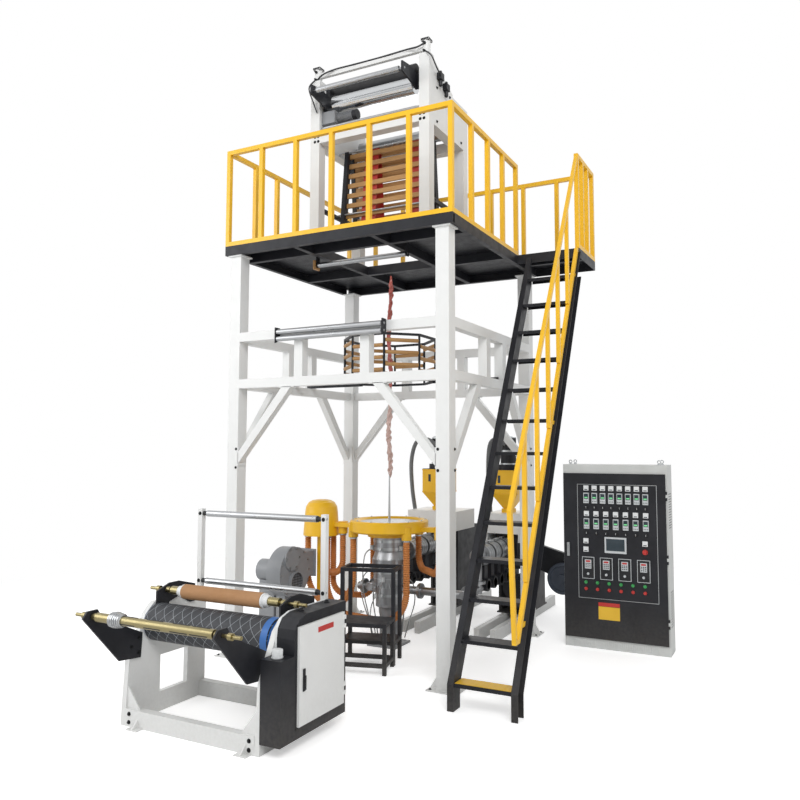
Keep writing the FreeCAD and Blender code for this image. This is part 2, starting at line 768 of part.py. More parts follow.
board_axis = board_y_top + board_gap / 2 + slat_thick
spindle_r = size("spindle_r", 9, "spindles that hold the boards")
spindle_high = board_top + size("spindle_up", 40, "upper spindles above the top slat")
spindle_low = board_low + size("spindle_low_up", 115, "lower spindles above the lowest slat")
slats, rails, reds, spindles, spindle_depths = [], [], [], [], []
for sign in (1, -1):

    def line(z):
        """The front face of the slats of the front board at a height."""
        return board_y_low + (z - board_low) * lean

    def depth(z, offset):
        """A point of this board at a height, offset to the film side."""
        value = line(z) + offset
        return value if sign > 0 else 2 * board_axis - value

    for index in range(slat_count):
        z = board_low + slat_pitch * index
        y = sorted((depth(z, 0), depth(z, slat_thick)), key=lambda value: value.number)
        slats.append(box((-board_half, board_half), y, (z - slat_high / 2, z + slat_high / 2)))
    low = board_low - 60
    top = board_top + 50
    for near, far in ((-board_half - 45, -board_half - seat), (board_half + seat, board_half + 45)):
        outline = [(depth(low, -34), low), (depth(low, 32), low), (depth(top, 32), top), (depth(top, -34), top)]
        rails.append(cut(
            plate("YZ", outline, (near, far)),
            bar("X", (depth(spindle_high, -20), spindle_high), (near, far), spindle_r + seat),
            bar("X", (depth(spindle_low, -20), spindle_low), (near, far), spindle_r + seat)))
    spindles.append(bar("X", (depth(spindle_high, -20), spindle_high), (-haul_in + seat, haul_in - seat), spindle_r))
    spindle_depths.append(depth(spindle_low, -20))
    spindles.append(bar("X", (depth(spindle_low, -20), spindle_low), (-haul_in - 5, haul_in + 5), spindle_r))
    low = low + 30
    behind = slat_thick + seat + lean * slat_high / 2
    for mid in (-(board_half - 250), board_half - 90):
        outline = [
            (depth(low, behind), low), (depth(low, behind + 10), low),
            (depth(top, behind + 10), top), (depth(top, behind), top)]
        reds.append(plate("YZ", outline, (mid - 80, mid + 80)))
node("board_slats", *slats)
node("board_uprights", *rails)
node("board_rails", *reds)
node("board_spindles", *spindles)
carriers = []
for sign in (-1, 1):
    x = span_of(sign, haul_in - 5, haul_in + 25)
    carriers.append(cut(
        box(x, (haul_inner_y[0] + seat, haul_inner_y[1] - seat), (spindle_low - 20, spindle_low + 20)),
        *[bar("X", (y, spindle_low), x, spindle_r + seat) for y in spindle_depths]))
node("board_carriers", *carriers)

# Guide rollers below the platform and on the upper ring beam
under_y = size("under_y", -555, "roller below the film opening")
under_drop = size("under_drop", 50, "that roller below the platform frame")
under_half = size("under_half", 478, "half length of that roller")
under_z = frame_low - under_drop
small_r = size("small_r", 24, "small guide roller")
small_gap = size("small_gap", 62, "distance of paired rollers")
node("opening_roller", roll(under_y, under_z, small_r, under_half, pin_r, under_half + 18))
mid_half = size("mid_half", 540, "half length of the ring rollers")
mid_z = ring_high + size("mid_up", 52, "ring rollers above the upper ring's underside")
mid_out = size("mid_out", 45, "ring rollers before the ring beam")
bracket_thick = size("bracket_thick", 10, "roller bracket plate")
mid_y = -col_y - mid_out
for index, name in enumerate(("ring_roller_upper", "ring_roller_lower")):
    z = mid_z - small_gap * index
    node(name, roll(mid_y, z, small_r, mid_half, pin_r, mid_half + 24))
brackets = []
for sign in (-1, 1):
    x = span_of(sign, mid_half + 8, mid_half + 8 + bracket_thick)
    outline = [
        (-col_y, mid_z + 40), (mid_y - 22, mid_z + 40),
        (mid_y - 22, mid_z - small_gap - 40), (-col_y, mid_z - small_gap - 10)]
    brackets.append(cut(
        plate("YZ", outline, x),
        bar("X", (mid_y, mid_z), x, pin_r + seat),
        bar("X", (mid_y, mid_z - small_gap), x, pin_r + seat)))
for sign in (-1, 1):
    x = span_of(sign, under_half + 8, under_half + 8 + bracket_thick)
    brackets.append(cut(
        box(x, (under_y - small_r, under_y + small_r), (under_z - small_r, frame_top)),
        bar("X", (under_y, under_z), x, pin_r + seat)))
node("roller_brackets", *brackets)

# Bubble cage: two eight-sided rims on eight uprights with wooden rollers
cage_half = size("cage_half", 430, "bubble cage from its middle to a side")
cage_up = size("cage_up", 10, "foot of the bubble cage above the lower ring")
cage_high = size("cage_high", 440, "height of the bubble cage")
cage_bar = size("cage_bar", 22, "cage bars")
cage_roller_r = size("cage_roller_r", 18, "wooden cage rollers")
cage_low = ring_low_top + cage_up
cage_top = cage_low + cage_high
EIGHTH = math.tan(math.radians(22.5))


def octagon(half):
    """The corners of a level eight-sided outline."""
    near = half * EIGHTH
    return [(half, -near), (half, near), (near, half), (-near, half),
            (-half, near), (-half, -near), (-near, -half), (near, -half)]


frames = []
for z in (cage_low, cage_top - cage_bar):
    rim = (z, z + cage_bar)
    frames.append(cut(plate("XY", octagon(cage_half), rim), plate("XY", octagon(cage_half - cage_bar), rim)))
for x, y in octagon(cage_half - cage_bar / 2):
    frames.append(bar("Z", (x, y), (cage_low, cage_top), cage_bar / 2))
for sign in (-1, 1):
    x = span_of(sign, cage_half - cage_bar, col_x - beam_wide / 2)
    for mid in (cage_half / -3, cage_half / 3):
        frames.append(box(x, (mid - cage_bar / 2, mid + cage_bar / 2), (ring_low_top + seat, cage_low + cage_bar)))
node("bubble_cage_frame", fuse(*frames))
rollers = []
for face in range(8):
    for level in range(3):
        z = cage_low + 90 + 115 * level + 50 * (face % 2)
        reach = (cage_half - cage_bar / 2) * EIGHTH - cage_bar / 2 - seat
        rollers.append(side_bar(45 * face, cage_half - cage_bar / 2, z, reach, cage_roller_r))
node("bubble_cage_rollers", *rollers)

# Die: a stack of flanges, heater bands and the lip on a round stand
die_r = size("die_r", 150, "die body")
die_low = size("die_low", 400, "underside of the die body")
die_neck_r = size("die_neck_r", 130, "foot of the die")
die_band_r = size("die_band_r", 155, "slotted heater band")
die_flange_r = size("die_flange_r", 165, "bolted flange of the die")
die_top = size("die_top", 1035, "top of the die")
lip_r = size("lip_r", 90, "die lip")
lip_high = size("lip_high", 40, "height of the die lip")
stand_r = size("stand_r", 90, "die stand tube")
base_plate = size("base_plate", 20, "floor plate under the die")
base_half = size("base_half", 155, "half width of that plate")
origin = (as_dim(0), as_dim(0))
node("die_base", fuse(
    box((-base_half, base_half), (-base_half, base_half), (as_dim(0), base_plate)),
    bar("Z", origin, (base_plate, die_low - 30), stand_r),
    bar("Z", origin, (die_low - 30, die_low), die_neck_r)))
die_steps = [
    (0, die_neck_r), (176, die_neck_r), (176, die_band_r), (236, die_band_r), (236, die_r),
    (370, die_r), (370, die_flange_r), (420, die_flange_r), (420, die_r + 8), (500, die_r - 15),
    (500, die_r + 8), (550, die_r + 8), (550, die_r)]
node("die_body", revolved(
    [(0, die_low)] + [(radius, die_low + rise) for rise, radius in die_steps]
    + [(die_r, die_top), (lip_r + 40, die_top), (lip_r, die_top + lip_high), (0, die_top + lip_high)]))

# Air ring on the die, with four hose spigots and an arm at each side
ring_r = size("ring_r", 383, "outer radius of the air ring")
ring_bore = size("ring_bore", 190, "bore of the air ring")
ring_up = size("ring_up", 45, "air ring above the top of the die")
ring_tall = size("ring_tall", 115, "height of the air ring")
spigot_r = size("spigot_r", 48, "hose spigots")
spigot_at = size("spigot_at", 350, "hose spigots from the middle")
spigot_drop = size("spigot_drop", 50, "hose spigots below the air ring")
hose_r = size("hose_r", 34, "air hoses")
dome_x = size("dome_x", -800, "air distributor, sideways")
dome_r = size("dome_r", 183, "radius of the air distributor")
stub_x = size("stub_x", 560, "hose stubs under the arms, sideways")
stub_y = size("stub_y", 36, "hose stubs under the arms, in depth")
ring_bottom = die_top + ring_up
ring_top = ring_bottom + ring_tall
spigot_low = ring_bottom - spigot_drop
TWIST = 26.9


def around(turn, reach):
    """A point round the die, counted from the line of the two arms."""
    angle = math.radians(turn + TWIST)
    return (reach * math.cos(angle), reach * math.sin(angle))


spigots = [around(turn, spigot_at) for turn in (185, 120, 300, 35)]
stub_left = (-stub_x, stub_y)
stub_right = (stub_x, -stub_y)
arm_z = (ring_bottom + 18, ring_bottom + 60)
ring_pieces = [
    revolved([
        (ring_bore, ring_bottom + 25), (ring_bore + 70, ring_bottom), (ring_r - 20, ring_bottom),
        (ring_r, ring_bottom + 14), (ring_r, ring_top - 12), (ring_r - 12, ring_top),
        (ring_r - 50, ring_top), (ring_r - 80, ring_top - 25), (ring_bore + 12, ring_top - 25)]),
    ring("Z", origin, (die_top, die_top + 8), ring_bore + 20, lip_r + 42),
    ring("Z", origin, (die_top, ring_bottom + 40), ring_bore + 20, ring_bore + 12),
    box((dome_x + dome_r - 30, 30 - ring_r), (as_dim(-30), as_dim(60)), arm_z),
    box((ring_r - 30, stub_x + 70), (as_dim(-60), as_dim(30)), arm_z),
]
for spot in spigots + [stub_left, stub_right]:
    ring_pieces.append(bar("Z", spot, (spigot_low, ring_bottom + 70), spigot_r))
dome_low = ring_bottom - size("dome_drop", 75, "air distributor below the air ring")
dome_high = size("dome_high", 360, "height of the air distributor")
dome_round = size("dome_round", 118, "rounding of the dome")
dome_post = size("dome_post", 60, "post of the air distributor")
dome_top = dome_low + dome_high
shoulder = dome_top - dome_round * 0.55
half_post = dome_post / 2
bell = revolved([
    (0, dome_low), (dome_r, dome_low), (dome_r, dome_low + 20), (dome_r - 16, shoulder - 60),
    (dome_r - 24, shoulder - 5), (dome_r - 50, dome_top - 28), (dome_r - 85, dome_top - 8),
    (dome_r - 125, dome_top), (0, dome_top)])
place(bell, dome_x, as_dim(0), as_dim(0))
node("air_ring", cut(fuse(*ring_pieces), bell))

# Yellow air distributor: the bell on a square post beside the die
node("air_distributor", fuse(
    bell,
    box((dome_x - half_post, dome_x + half_post), (-half_post, half_post), (as_dim(12), dome_low)),
    box((dome_x - 130, dome_x + 130), (as_dim(-130), as_dim(130)), (as_dim(0), as_dim(12)))))

# Air hoses: each drops, bends, crosses and rises again in one upright plane


def hose_solid(length, drop_a, drop_b, bend, radius):
    """A U of round bar from (0, 0, 0) down and up again at (length, 0)."""
    pieces = [
        bar("Z", origin, (-(drop_a - bend), as_dim(0)), radius),
        bar("Z", (length, as_dim(0)), (-(drop_a - bend), drop_b - drop_a), radius),
        bar("X", (as_dim(0), -drop_a), (bend, length - bend), radius)]
    for centre, start in ((bend, 90), (length - bend, 0)):
        elbow = DOC.addObject("Part::Torus", "Elbow")
        bind(elbow, "Radius1", bend)
        bind(elbow, "Radius2", radius)
        elbow.Angle3 = 90
        elbow.Placement = FreeCAD.Placement(
            FreeCAD.Vector(), FreeCAD.Rotation(FreeCAD.Vector(1, 0, 0), -90).multiply(
                FreeCAD.Rotation(FreeCAD.Vector(0, 0, 1), start)))
        place(elbow, centre, as_dim(0), -(drop_a - bend))
        pieces.append(elbow)
    return fuse(*pieces)


def hose(start, end, low, bend):
    """A hose between two points (x, y, z) that comes down to low."""
    dx, dy = end[0] - start[0], end[1] - start[1]
    length = Dim(math.hypot(dx.number, dy.number), f"sqrt({dx.text} ^ 2 + {dy.text} ^ 2)")
    shell = hose_solid(length, start[2] - low, end[2] - low, bend, hose_r)
    shell.Placement = FreeCAD.Placement(
        FreeCAD.Vector(), FreeCAD.Rotation(FreeCAD.Vector(0, 0, 1), 1))
    shell.setExpression("Placement.Rotation.Angle", f"atan2({dy.text}; {dx.text})")
    place(shell, *start)
    return shell


def under(spot, level):
    """A hose end at a level."""
    return (as_dim(spot[0]), as_dim(spot[1]), level)


bell_end = dome_low - seat
ring_end = spigot_low - seat
hose_bend = size("hose_bend", 300, "bend of the long hoses")
hose_bend_short = size("hose_bend_short", 140, "bend of the short hoses")
hose_low = size("hose_low", 250, "lowest hose")
node(
    "air_hoses",
    hose(under((dome_x - 70, 84), bell_end), under(stub_left, ring_end), dome_low - 385, hose_bend_short),
    hose(under((dome_x - 120, -61), bell_end), under(spigots[0], ring_end), hose_low + 100, hose_bend),
    hose(under((dome_x + 100, -35), bell_end), under(spigots[2], ring_end), hose_low, hose_bend),
    hose(under((dome_x + 60, 136), bell_end), under(spigots[1], ring_end), hose_low + 150, hose_bend_short),
    hose(under(spigots[3], ring_end), under(stub_right, ring_end), hose_low + 450, hose_bend_short))

# Black tube stand with its lower step in front of the die, at a slight angle
stand_left = size("stand_left", -270, "left of the work stand")
stand_right = size("stand_right", 230, "right of the work stand")
stand_front = size("stand_front", -700, "front of the work stand")
stand_back = size("stand_back", -430, "back of the work stand")
stand_high = size("stand_high", 830, "height of the work stand")
step_front = size("step_front", -1000, "front of the step")
step_high = size("step_high", 420, "height of the step")
shelf_z = size("shelf_z", 205, "shelf of the work stand")
angle_leg = size("angle_leg", 32, "stand tube")
STAND_TURN = 15


def open_frame(x, y, high, shelf):
    """A welded frame: four legs, a top rim and a low rim."""
    leg = angle_leg
    members = []
    for x0 in (x[0], x[1] - leg):
        for y0 in (y[0], y[1] - leg):
            members.append(box((x0, x0 + leg), (y0, y0 + leg), (as_dim(0), high)))
    for z in (high - leg, shelf):
        members.append(cut(
            box(x, y, (z, z + leg)),
            box((x[0] + leg, x[1] - leg), (y[0] + leg, y[1] - leg), (z, z + leg))))
    return fuse(*members)


rest = angle_leg
stand_in = (stand_left + rest, stand_right - rest)
node("work_stand", turned(fuse(
    open_frame((stand_left, stand_right), (stand_front, stand_back), stand_high, shelf_z - rest),
    open_frame((stand_left, stand_right), (step_front, stand_front + 1), step_high, as_dim(60)),
    box(stand_in, (step_front + rest, stand_front - rest + 1), (step_high - 4, step_high)),
    box(stand_in, (stand_front + rest, stand_back - rest), (shelf_z - 4, shelf_z))), STAND_TURN))

# Blower on the floor at the left: a flat housing, its inlet, outlet and motor
blower_x = size("blower_x", -800, "right face of the blower housing")
blower_y = size("blower_y", -440, "blower shaft, in depth")
blower_z = size("blower_z", 690, "height of the blower shaft")
blower_r = size("blower_r", 240, "blower housing")
blower_deep = size("blower_deep", 160, "depth of the blower housing")
blower_motor_r = size("blower_motor_r", 105, "blower motor")
blower_motor_long = size("blower_motor_long", 240, "length of the blower motor")
inlet_r = size("inlet_r", 100, "inlet of the blower")
outlet_back = size("outlet_back", -110, "end of the blower outlet")
lid_r = size("lid_r", 115, "round cover of the blower")
housing_x = (blower_x - blower_deep, blower_x)
motor_end = housing_x[0] - blower_motor_long
inlet_z = blower_z - 90
node("blower", fuse(
    bar("X", (blower_y, blower_z), housing_x, blower_r),
    box(housing_x, (blower_y, outlet_back), (blower_z - 70, blower_z + 170)),
    box((housing_x[0] - 15, housing_x[1] + 15), (outlet_back - 15, outlet_back),
        (blower_z - 85, blower_z + 185)),
    ring("X", (blower_y, inlet_z), (blower_x - 5, blower_x + 30), inlet_r, inlet_r - 12),
    bar("X", (blower_y - 60, blower_z + 140), (blower_x - 5, blower_x + 18), lid_r),
    bar("X", (blower_y, blower_z), (motor_end, housing_x[0]), blower_motor_r),
    box((motor_end + 30, housing_x[0] - 30), (blower_y - 80, blower_y + 80),
        (as_dim(80), blower_z - blower_motor_r + 20)),
    box((motor_end, housing_x[1] + 30), (blower_y - 200, blower_y + 200), (as_dim(0), as_dim(80))),
    box((housing_x[0] + 30, housing_x[1] - 30), (blower_y - 120, blower_y + 120),
        (as_dim(80), blower_z - blower_r + 40))))

# Two extruders that lie side by side and run to the back
ext_front = size("ext_front", 330, "front end of the barrels")
ext_back = size("ext_back", 2480, "back end of the base beams")
ext_z = size("ext_z", 850, "axis of the barrels")
barrel_r = size("barrel_r", 70, "barrel")
heater_r = size("heater_r", 100, "heater bands")
heater_long = size("heater_long", 140, "length of a heater band")
heater_pitch = size("heater_pitch", 180, "distance of the heater bands")
feed_y = size("feed_y", 1200, "feed opening")
gear_back = size("gear_back", 1900, "back of the gearbox")
gear_half = size("gear_half", 170, "half width of the gearbox")
gear_drop = size("gear_drop", 260, "gearbox below the axis")
ext_left = size("ext_left", -27, "axis of the left extruder")
ext_right = size("ext_right", 800, "axis of the right extruder")
beam_high = size("beam_high", 120, "base beam of the extruders")
beam_out = size("beam_out", 85, "base beams from the axis")
beam_half = size("beam_half", 28, "half width of a base beam")
hopper_wide = size("hopper_wide", 285, "hopper")
hopper_wall = size("hopper_wall", 4, "sheet of the hopper")
hopper_top = size("hopper_top", 1655, "rim of the hopper")
hopper_kink = size("hopper_kink", 1400, "start of the hopper's taper")
hopper_low = size("hopper_low", 1215, "outlet of the hopper")
outlet_half = size("outlet_half", 45, "half width of the hopper's outlet")
loader_r = size("loader_r", 85, "loader")
loader_high = size("loader_high", 345, "height of the loader")
melt_z = size("melt_z", 535, "height of the melt pipes at the die")
pipe_r = size("pipe_r", 38, "melt pipe between barrel and die")
collar_r = size("collar_r", 72, "flanges of the melt pipes")
elbow_x = size("elbow_x", -200, "elbow of the left melt pipe")
leg_thick = size("leg_thick", 30, "gearbox pedestal")
plate_thick = size("plate_thick", 15, "plate on the base beams")
ext_motor_r = size("ext_motor_r", 115, "extruder motor")
ext_motor_z = size("ext_motor_z", 380, "height of the extruder motor")
fan_r = size("fan_r", 62, "barrel fans")
fan_half = size("fan_half", 55, "half length of a barrel fan")
fan_drop = size("fan_drop", 290, "barrel fans below the axis")
cover_front = size("cover_front", 1000, "front of the barrel covers")
cover_back = size("cover_back", 1500, "back of the barrel covers")
guard_half = size("guard_half", 45, "half width of the belt guard")
guard_long = size("guard_long", 480, "length of the belt guard")
gear_low = ext_z - gear_drop


def melt_pipe(*runs):
    """Pipes and their flanges, from (axis, centre, span) runs."""
    pieces = []
    for axis, centre, span in runs:
        pieces.append(bar(axis, centre, span, pipe_r))
        near = span[0] * 0.7 + span[1] * 0.3
        pieces.append(bar(axis, centre, (near - 14, near + 14), collar_r))
    return pieces


neck = pipe_r + 4
pipes = {
    ext_left: melt_pipe(
        ("X", (as_dim(0), melt_z), (elbow_x - 140, -die_neck_r - seat)),
        ("Y", (elbow_x, melt_z), (-neck, ext_front + neck)),
        ("X", (ext_front, melt_z), (elbow_x - neck, ext_left + neck)),
        ("Z", (ext_left, ext_front), (melt_z - neck, ext_z))),
    ext_right: melt_pipe(
        ("X", (as_dim(0), melt_z), (die_neck_r + seat, ext_right + neck)),
        ("Y", (ext_right, melt_z), (-neck, ext_front + neck)),
        ("Z", (ext_right, ext_front), (melt_z - neck, ext_z))),
}
cover_half = {ext_left: size("cover_left", 297, "half width of the left cover"),
              ext_right: size("cover_right", 200, "half width of the right cover")}
cover_low = {ext_left: ext_z + 145 + seat, ext_right: ext_z + 60}
bases, barrels, gears, covers = [], [], [], []
hoppers, loaders, fans = [], [], []
for axis in (ext_left, ext_right):
    for side in (-1, 1):
        mid = axis + beam_out * side
        bases.append(box((mid - beam_half, mid + beam_half), (ext_front + 150, ext_back), (as_dim(0), beam_high)))
    bands = [bar("Y", (axis, ext_z), (ext_front - neck, feed_y - 90), barrel_r)] + pipes[axis]
    for index in range(4):
        start = ext_front + 60 + heater_pitch * index
        bands.append(bar("Y", (axis, ext_z), (start, start + heater_long), heater_r))
        middle = start + heater_long / 2
        fan_z = ext_z - fan_drop
        fans.append(fuse(
            bar("X", (middle, fan_z), (axis - fan_half, axis + fan_half), fan_r),
            box((axis - 30, axis + 30), (middle - 40, middle + 40), (fan_z, ext_z - heater_r - seat))))
    barrels.append(fuse(*bands))
    gears.append(fuse(
        box((axis - 120, axis + 120), (feed_y - 90, feed_y + 120), (ext_z - 120, ext_z + 145)),
        box((axis - gear_half, axis + gear_half), (feed_y + 120, gear_back), (gear_low, ext_z + 145)),
        box((axis - gear_half, axis - gear_half + leg_thick), (feed_y + 120, gear_back), (beam_high, gear_low)),
        box((axis + gear_half - leg_thick, axis + gear_half), (feed_y + 120, gear_back), (beam_high, gear_low)),
        box((axis - gear_half, axis + gear_half), (feed_y + 60, gear_back + 60),
            (beam_high, beam_high + plate_thick)),
        plate("YZ", [
            (gear_back, gear_low), (gear_back + guard_long, gear_low - 90),
            (gear_back + guard_long, gear_low + 60), (gear_back, gear_low + 210)],
            (axis - guard_half, axis + guard_half))))
    wide = cover_half[axis]
    cover = box((axis - wide, axis + wide), (cover_front, cover_back), (cover_low[axis], hopper_low - 12))
    if axis is ext_right:
        cover = cut(cover, box(
            (axis - gear_half - seat, axis + gear_half + seat), (cover_front, cover_back),
            (cover_low[axis], ext_z + 145 + seat)))
    covers.append(cover)
    motors.append(fuse(
        bar("Y", (axis, ext_motor_z), (feed_y + 100, gear_back + 40), ext_motor_r),
        box((axis - 80, axis + 80), (feed_y + 200, gear_back - 100),
            (beam_high + plate_thick + seat, ext_motor_z))))
    w = hopper_wide / 2
    inside = w - hopper_wall
    spot = (axis, feed_y)
    hoppers.append(cut(
        fuse(
            box((axis - w, axis + w), (feed_y - w, feed_y + w), (hopper_kink, hopper_top)),
            cone_box(spot, (hopper_low + 30, hopper_kink), outlet_half, w),
            box((axis - 60, axis + 60), (feed_y - 60, feed_y + 60), (hopper_low - 12, hopper_low + 30))),
        box((axis - inside, axis + inside), (feed_y - inside, feed_y + inside), (hopper_kink, hopper_top)),
        cone_box(spot, (hopper_low + 50, hopper_kink), outlet_half, inside)))
    loaders.append(fuse(
        box((axis - w, axis + w), (feed_y - w, feed_y + w), (hopper_top, hopper_top + 8)),
        bar("Z", spot, (hopper_top + 8, hopper_top + 60), loader_r + 30),
        bar("Z", spot, (hopper_top + 60, hopper_top + loader_high), loader_r)))
node("extruder_bases", *bases)
node("extruder_barrels", *barrels)
node("barrel_fans", *fans)
node("extruder_gearboxes", *gears)
node("barrel_covers", *covers)
node("hoppers", *hoppers)
node("hopper_loaders", *loaders)

# Surface winder at the front
wind_left = size("wind_left", -611, "outer face of the left winder frame")
wind_right = size("wind_right", 589, "outer face of the right winder frame")
wind_front = size("wind_front", -2670, "front of the winder")
wind_back = size("wind_back", -1905, "back of the winder")
frame_thick = size("frame_thick", 40, "winder side frame")
side_top = size("side_top", 790, "top of the winder side frames")
drum_y = size("drum_y", -2410, "axis of the winding drum")
drum_z = size("drum_z", 650, "height of the winding drum")
drum_r = size("drum_r", 131, "winding drum")
drum_neck = size("drum_neck", 30, "drum journal")
wind_arm = size("wind_arm", 14, "winder arm plate")
side_in_left = wind_left + frame_thick
side_in_right = wind_right - frame_thick


def winder_side(x):
    """A side frame with its window and the drum's bearing hole."""
    outline = [
        (wind_front, as_dim(0)), (wind_front + 25, side_top - 366), (wind_front + 160, side_top - 70),
        (wind_front + 235, side_top), (wind_back, side_top), (wind_back, as_dim(0))]
    window = box(x, (wind_front + 310, wind_front + 580), (as_dim(140), as_dim(400)))
    return cut(plate("YZ", outline, x), window, bar("X", (drum_y, drum_z), x, drum_neck + seat))


chan_high = size("chan_high", 115, "winder cross channels")
chan_deep = size("chan_deep", 60, "depth of those channels")
gusset_reach = size("gusset_reach", 120, "gussets on the front channel")
chan_x = (side_in_left + seat, side_in_right - seat)
front_chan = [box(chan_x, (wind_front, wind_front + chan_deep), (as_dim(0), chan_high))]
for corner, reach in ((chan_x[0], gusset_reach), (chan_x[1], -gusset_reach)):
    front_chan.append(plate("XZ", [
        (corner, chan_high), (corner + reach, chan_high), (corner, chan_high + gusset_reach * 1.25)],
        (wind_front + 20, wind_front + 20 + gusset_thick)))
node(
    "winder_frame",
    winder_side((wind_left, side_in_left)),
    winder_side((side_in_right, wind_right)),
    fuse(*front_chan),
    box(chan_x, (wind_back - chan_deep, wind_back), (as_dim(0), chan_high)),
)
drum_gap = wind_arm + run
node("winding_drum", fuse(
    bar("X", (drum_y, drum_z), (side_in_left + drum_gap, side_in_right - drum_gap), drum_r),
    bar("X", (drum_y, drum_z), (wind_left + 2, wind_right - 2), drum_neck)))

# Front air shaft on two black arms on the inner faces of the frames
shaft_y = size("shaft_y", -2968, "front air shaft")
shaft_z = size("shaft_z", 793, "height of the front air shaft")
shaft_r = size("shaft_r", 30, "air shaft")
shaft_pin = size("shaft_pin", 12, "air shaft ends")
shaft_over = size("shaft_over", 100, "air shaft ends past the side frames")
collar_out = size("collar_out", 35, "length of a shaft collar")
arm_left = (side_in_left, side_in_left + wind_arm)
arm_right = (side_in_right - wind_arm, side_in_right)
outline = [
    (shaft_y - 77, shaft_z - 3), (shaft_y - 42, shaft_z + 39), (shaft_y + 38, shaft_z + 39),
    (shaft_y + 78, shaft_z - 26), (wind_front + 125, side_top - 190), (wind_front + 115, side_top - 358),
    (wind_front - 70, side_top - 340)]
arm_plates = [
    cut(plate("YZ", outline, x), bar("X", (shaft_y, shaft_z), x, shaft_pin + seat))
    for x in (arm_left, arm_right)]


def air_shaft(y, z, tube, collar):
    """A shaft on thin ends, with a collar on both sides of each arm."""
    at = (y, z)
    return fuse(
        bar("X", at, (arm_left[1] + tube, arm_right[0] - tube), shaft_r),
        bar("X", at, (wind_left - shaft_over, wind_right + shaft_over), shaft_pin),
        bar("X", at, (arm_left[1] + run, arm_left[1] + run + collar_out), collar),
        bar("X", at, (arm_right[0] - run - collar_out, arm_right[0] - run), collar),
        bar("X", at, (wind_left - collar_out, wind_left - run), collar),
        bar("X", at, (wind_right + run, wind_right + collar_out), collar))


node("front_air_shaft", air_shaft(shaft_y, shaft_z, 48, shaft_r - 8))

# Second shaft with a paper core, in curved brackets over the drum
core_y = size("core_y", -2330, "core shaft")
core_z = size("core_z", 862, "height of the core shaft")
core_r = size("core_r", 52, "paper core")
core_left = size("core_left", 375, "left end of the paper core")
core_right = size("core_right", 335, "right end of the paper core")
for x in (arm_left, arm_right):
    outline = [
        (core_y - 90, core_z - 122), (core_y - 90, core_z), (core_y + 30, core_z + 43),
        (core_y + 130, core_z + 43), (core_y + 290, core_z - 2), (core_y + 290, side_top - 60),
        (core_y + 240, side_top - 60), (core_y + 130, side_top + 10), (core_y + 30, side_top - 20),
        (core_y + 10, core_z - 142)]
    arm_plates.append(cut(plate("YZ", outline, x), bar("X", (core_y, core_z), x, shaft_pin + seat)))
node("winder_arms", *arm_plates)
node("core_shaft", air_shaft(core_y, core_z, 60, shaft_r - 8))
node("paper_core", ring("X", (core_y, core_z), (-core_left, core_right), core_r, shaft_r + seat))

# Uprights on the side frames with two guide rollers behind the drum
up_y = size("up_y", -1950, "winder uprights")
up_wide = size("up_wide", 40, "winder upright tube")
up_high = size("up_high", 630, "height of the uprights")
roller_drop = size("roller_drop", 35, "upper winder roller below the top of the uprights")
roller_rise = size("roller_rise", 78, "lower winder roller above the side frames")
up_top = side_top + up_high
up_rollers = (up_top - roller_drop, side_top + roller_rise)
holed = []
for x in ((wind_left, side_in_left), (side_in_right, wind_right)):
    holed.append(cut(
        box(x, (up_y - up_wide / 2, up_y + up_wide / 2), (side_top, up_top)),
        bar("X", (up_y, up_rollers[0]), x, pin_r + seat),
        bar("X", (up_y, up_rollers[1]), x, pin_r + seat)))
node("winder_uprights", *holed)
for name, z in (("winder_upper_roller", up_rollers[0]), ("winder_lower_roller", up_rollers[1])):
    node(name, fuse(
        bar("X", (up_y, z), (side_in_left + 45, side_in_right - 45), small_r),
        bar("X", (up_y, z), (wind_left + 4, wind_right - 4), pin_r)))

# Barrel hinges: two knuckles on the door, one between them on the case
knuckle_r = size("knuckle_r", 8, "hinge knuckle")
knuckle_half = size("knuckle_half", 14, "half height of the middle knuckle")


def hinges(axis, heights, leaf, strap):
    """The door side and the case side of barrel hinges at some heights."""
    door, case = [], []
    for z in heights:
        middle = (z - knuckle_half, z + knuckle_half)
        case.append(bar("Z", axis, middle, knuckle_r))
        case.append(box(strap[0], strap[1], middle))
        for span in ((z - knuckle_half * 3, middle[0] - 1), (middle[1] + 1, z + knuckle_half * 3)):
            door.append(bar("Z", axis, span, knuckle_r))
            door.append(box(leaf[0], leaf[1], span))
    return door, case


# Drive cabinet on the right of the winder, with its door and front box
case_out = size("case_out", 745, "outer face of the winder cabinet")
case_front = size("case_front", -2530, "front of the winder cabinet")
case_back = size("case_back", -1940, "back of the winder cabinet")
case_low = size("case_low", 75, "underside of the winder cabinet")
case_top = size("case_top", 830, "top of the winder cabinet")
front_box_top = size("front_box_top", 590, "top of the box before the cabinet")
door_thick = size("door_thick", 18, "cabinet doors")
case_outline = [
    (case_front, case_low), (case_back, case_low), (case_back, case_top),
    (case_front + 130, case_top), (case_front + 50, case_top - 25), (case_front + 10, case_top - 80),
    (case_front, case_top - 140)]
door_x = (case_out + seat, case_out + seat + door_thick)
door_y = (case_front + 30, case_back - 44)
case_hinge = (door_x[1], door_y[1] + knuckle_r)
door_side, case_side = hinges(
    case_hinge, (case_low + 175, case_top - 130),
    ((door_x[1], door_x[1] + 6), (door_y[1] - 9, case_hinge[1])),
    ((case_out, door_x[1]), (case_hinge[1] - 2, case_hinge[1] + 4)))
node("winder_cabinet", fuse(
    plate("YZ", case_outline, (wind_right + seat, case_out)),
    box((wind_right + seat, case_out), (wind_front, case_front), (case_low, front_box_top)),
    *case_side))
node("winder_cabinet_door", fuse(box(door_x, door_y, (case_low + 75, case_top - 65)), *door_side))

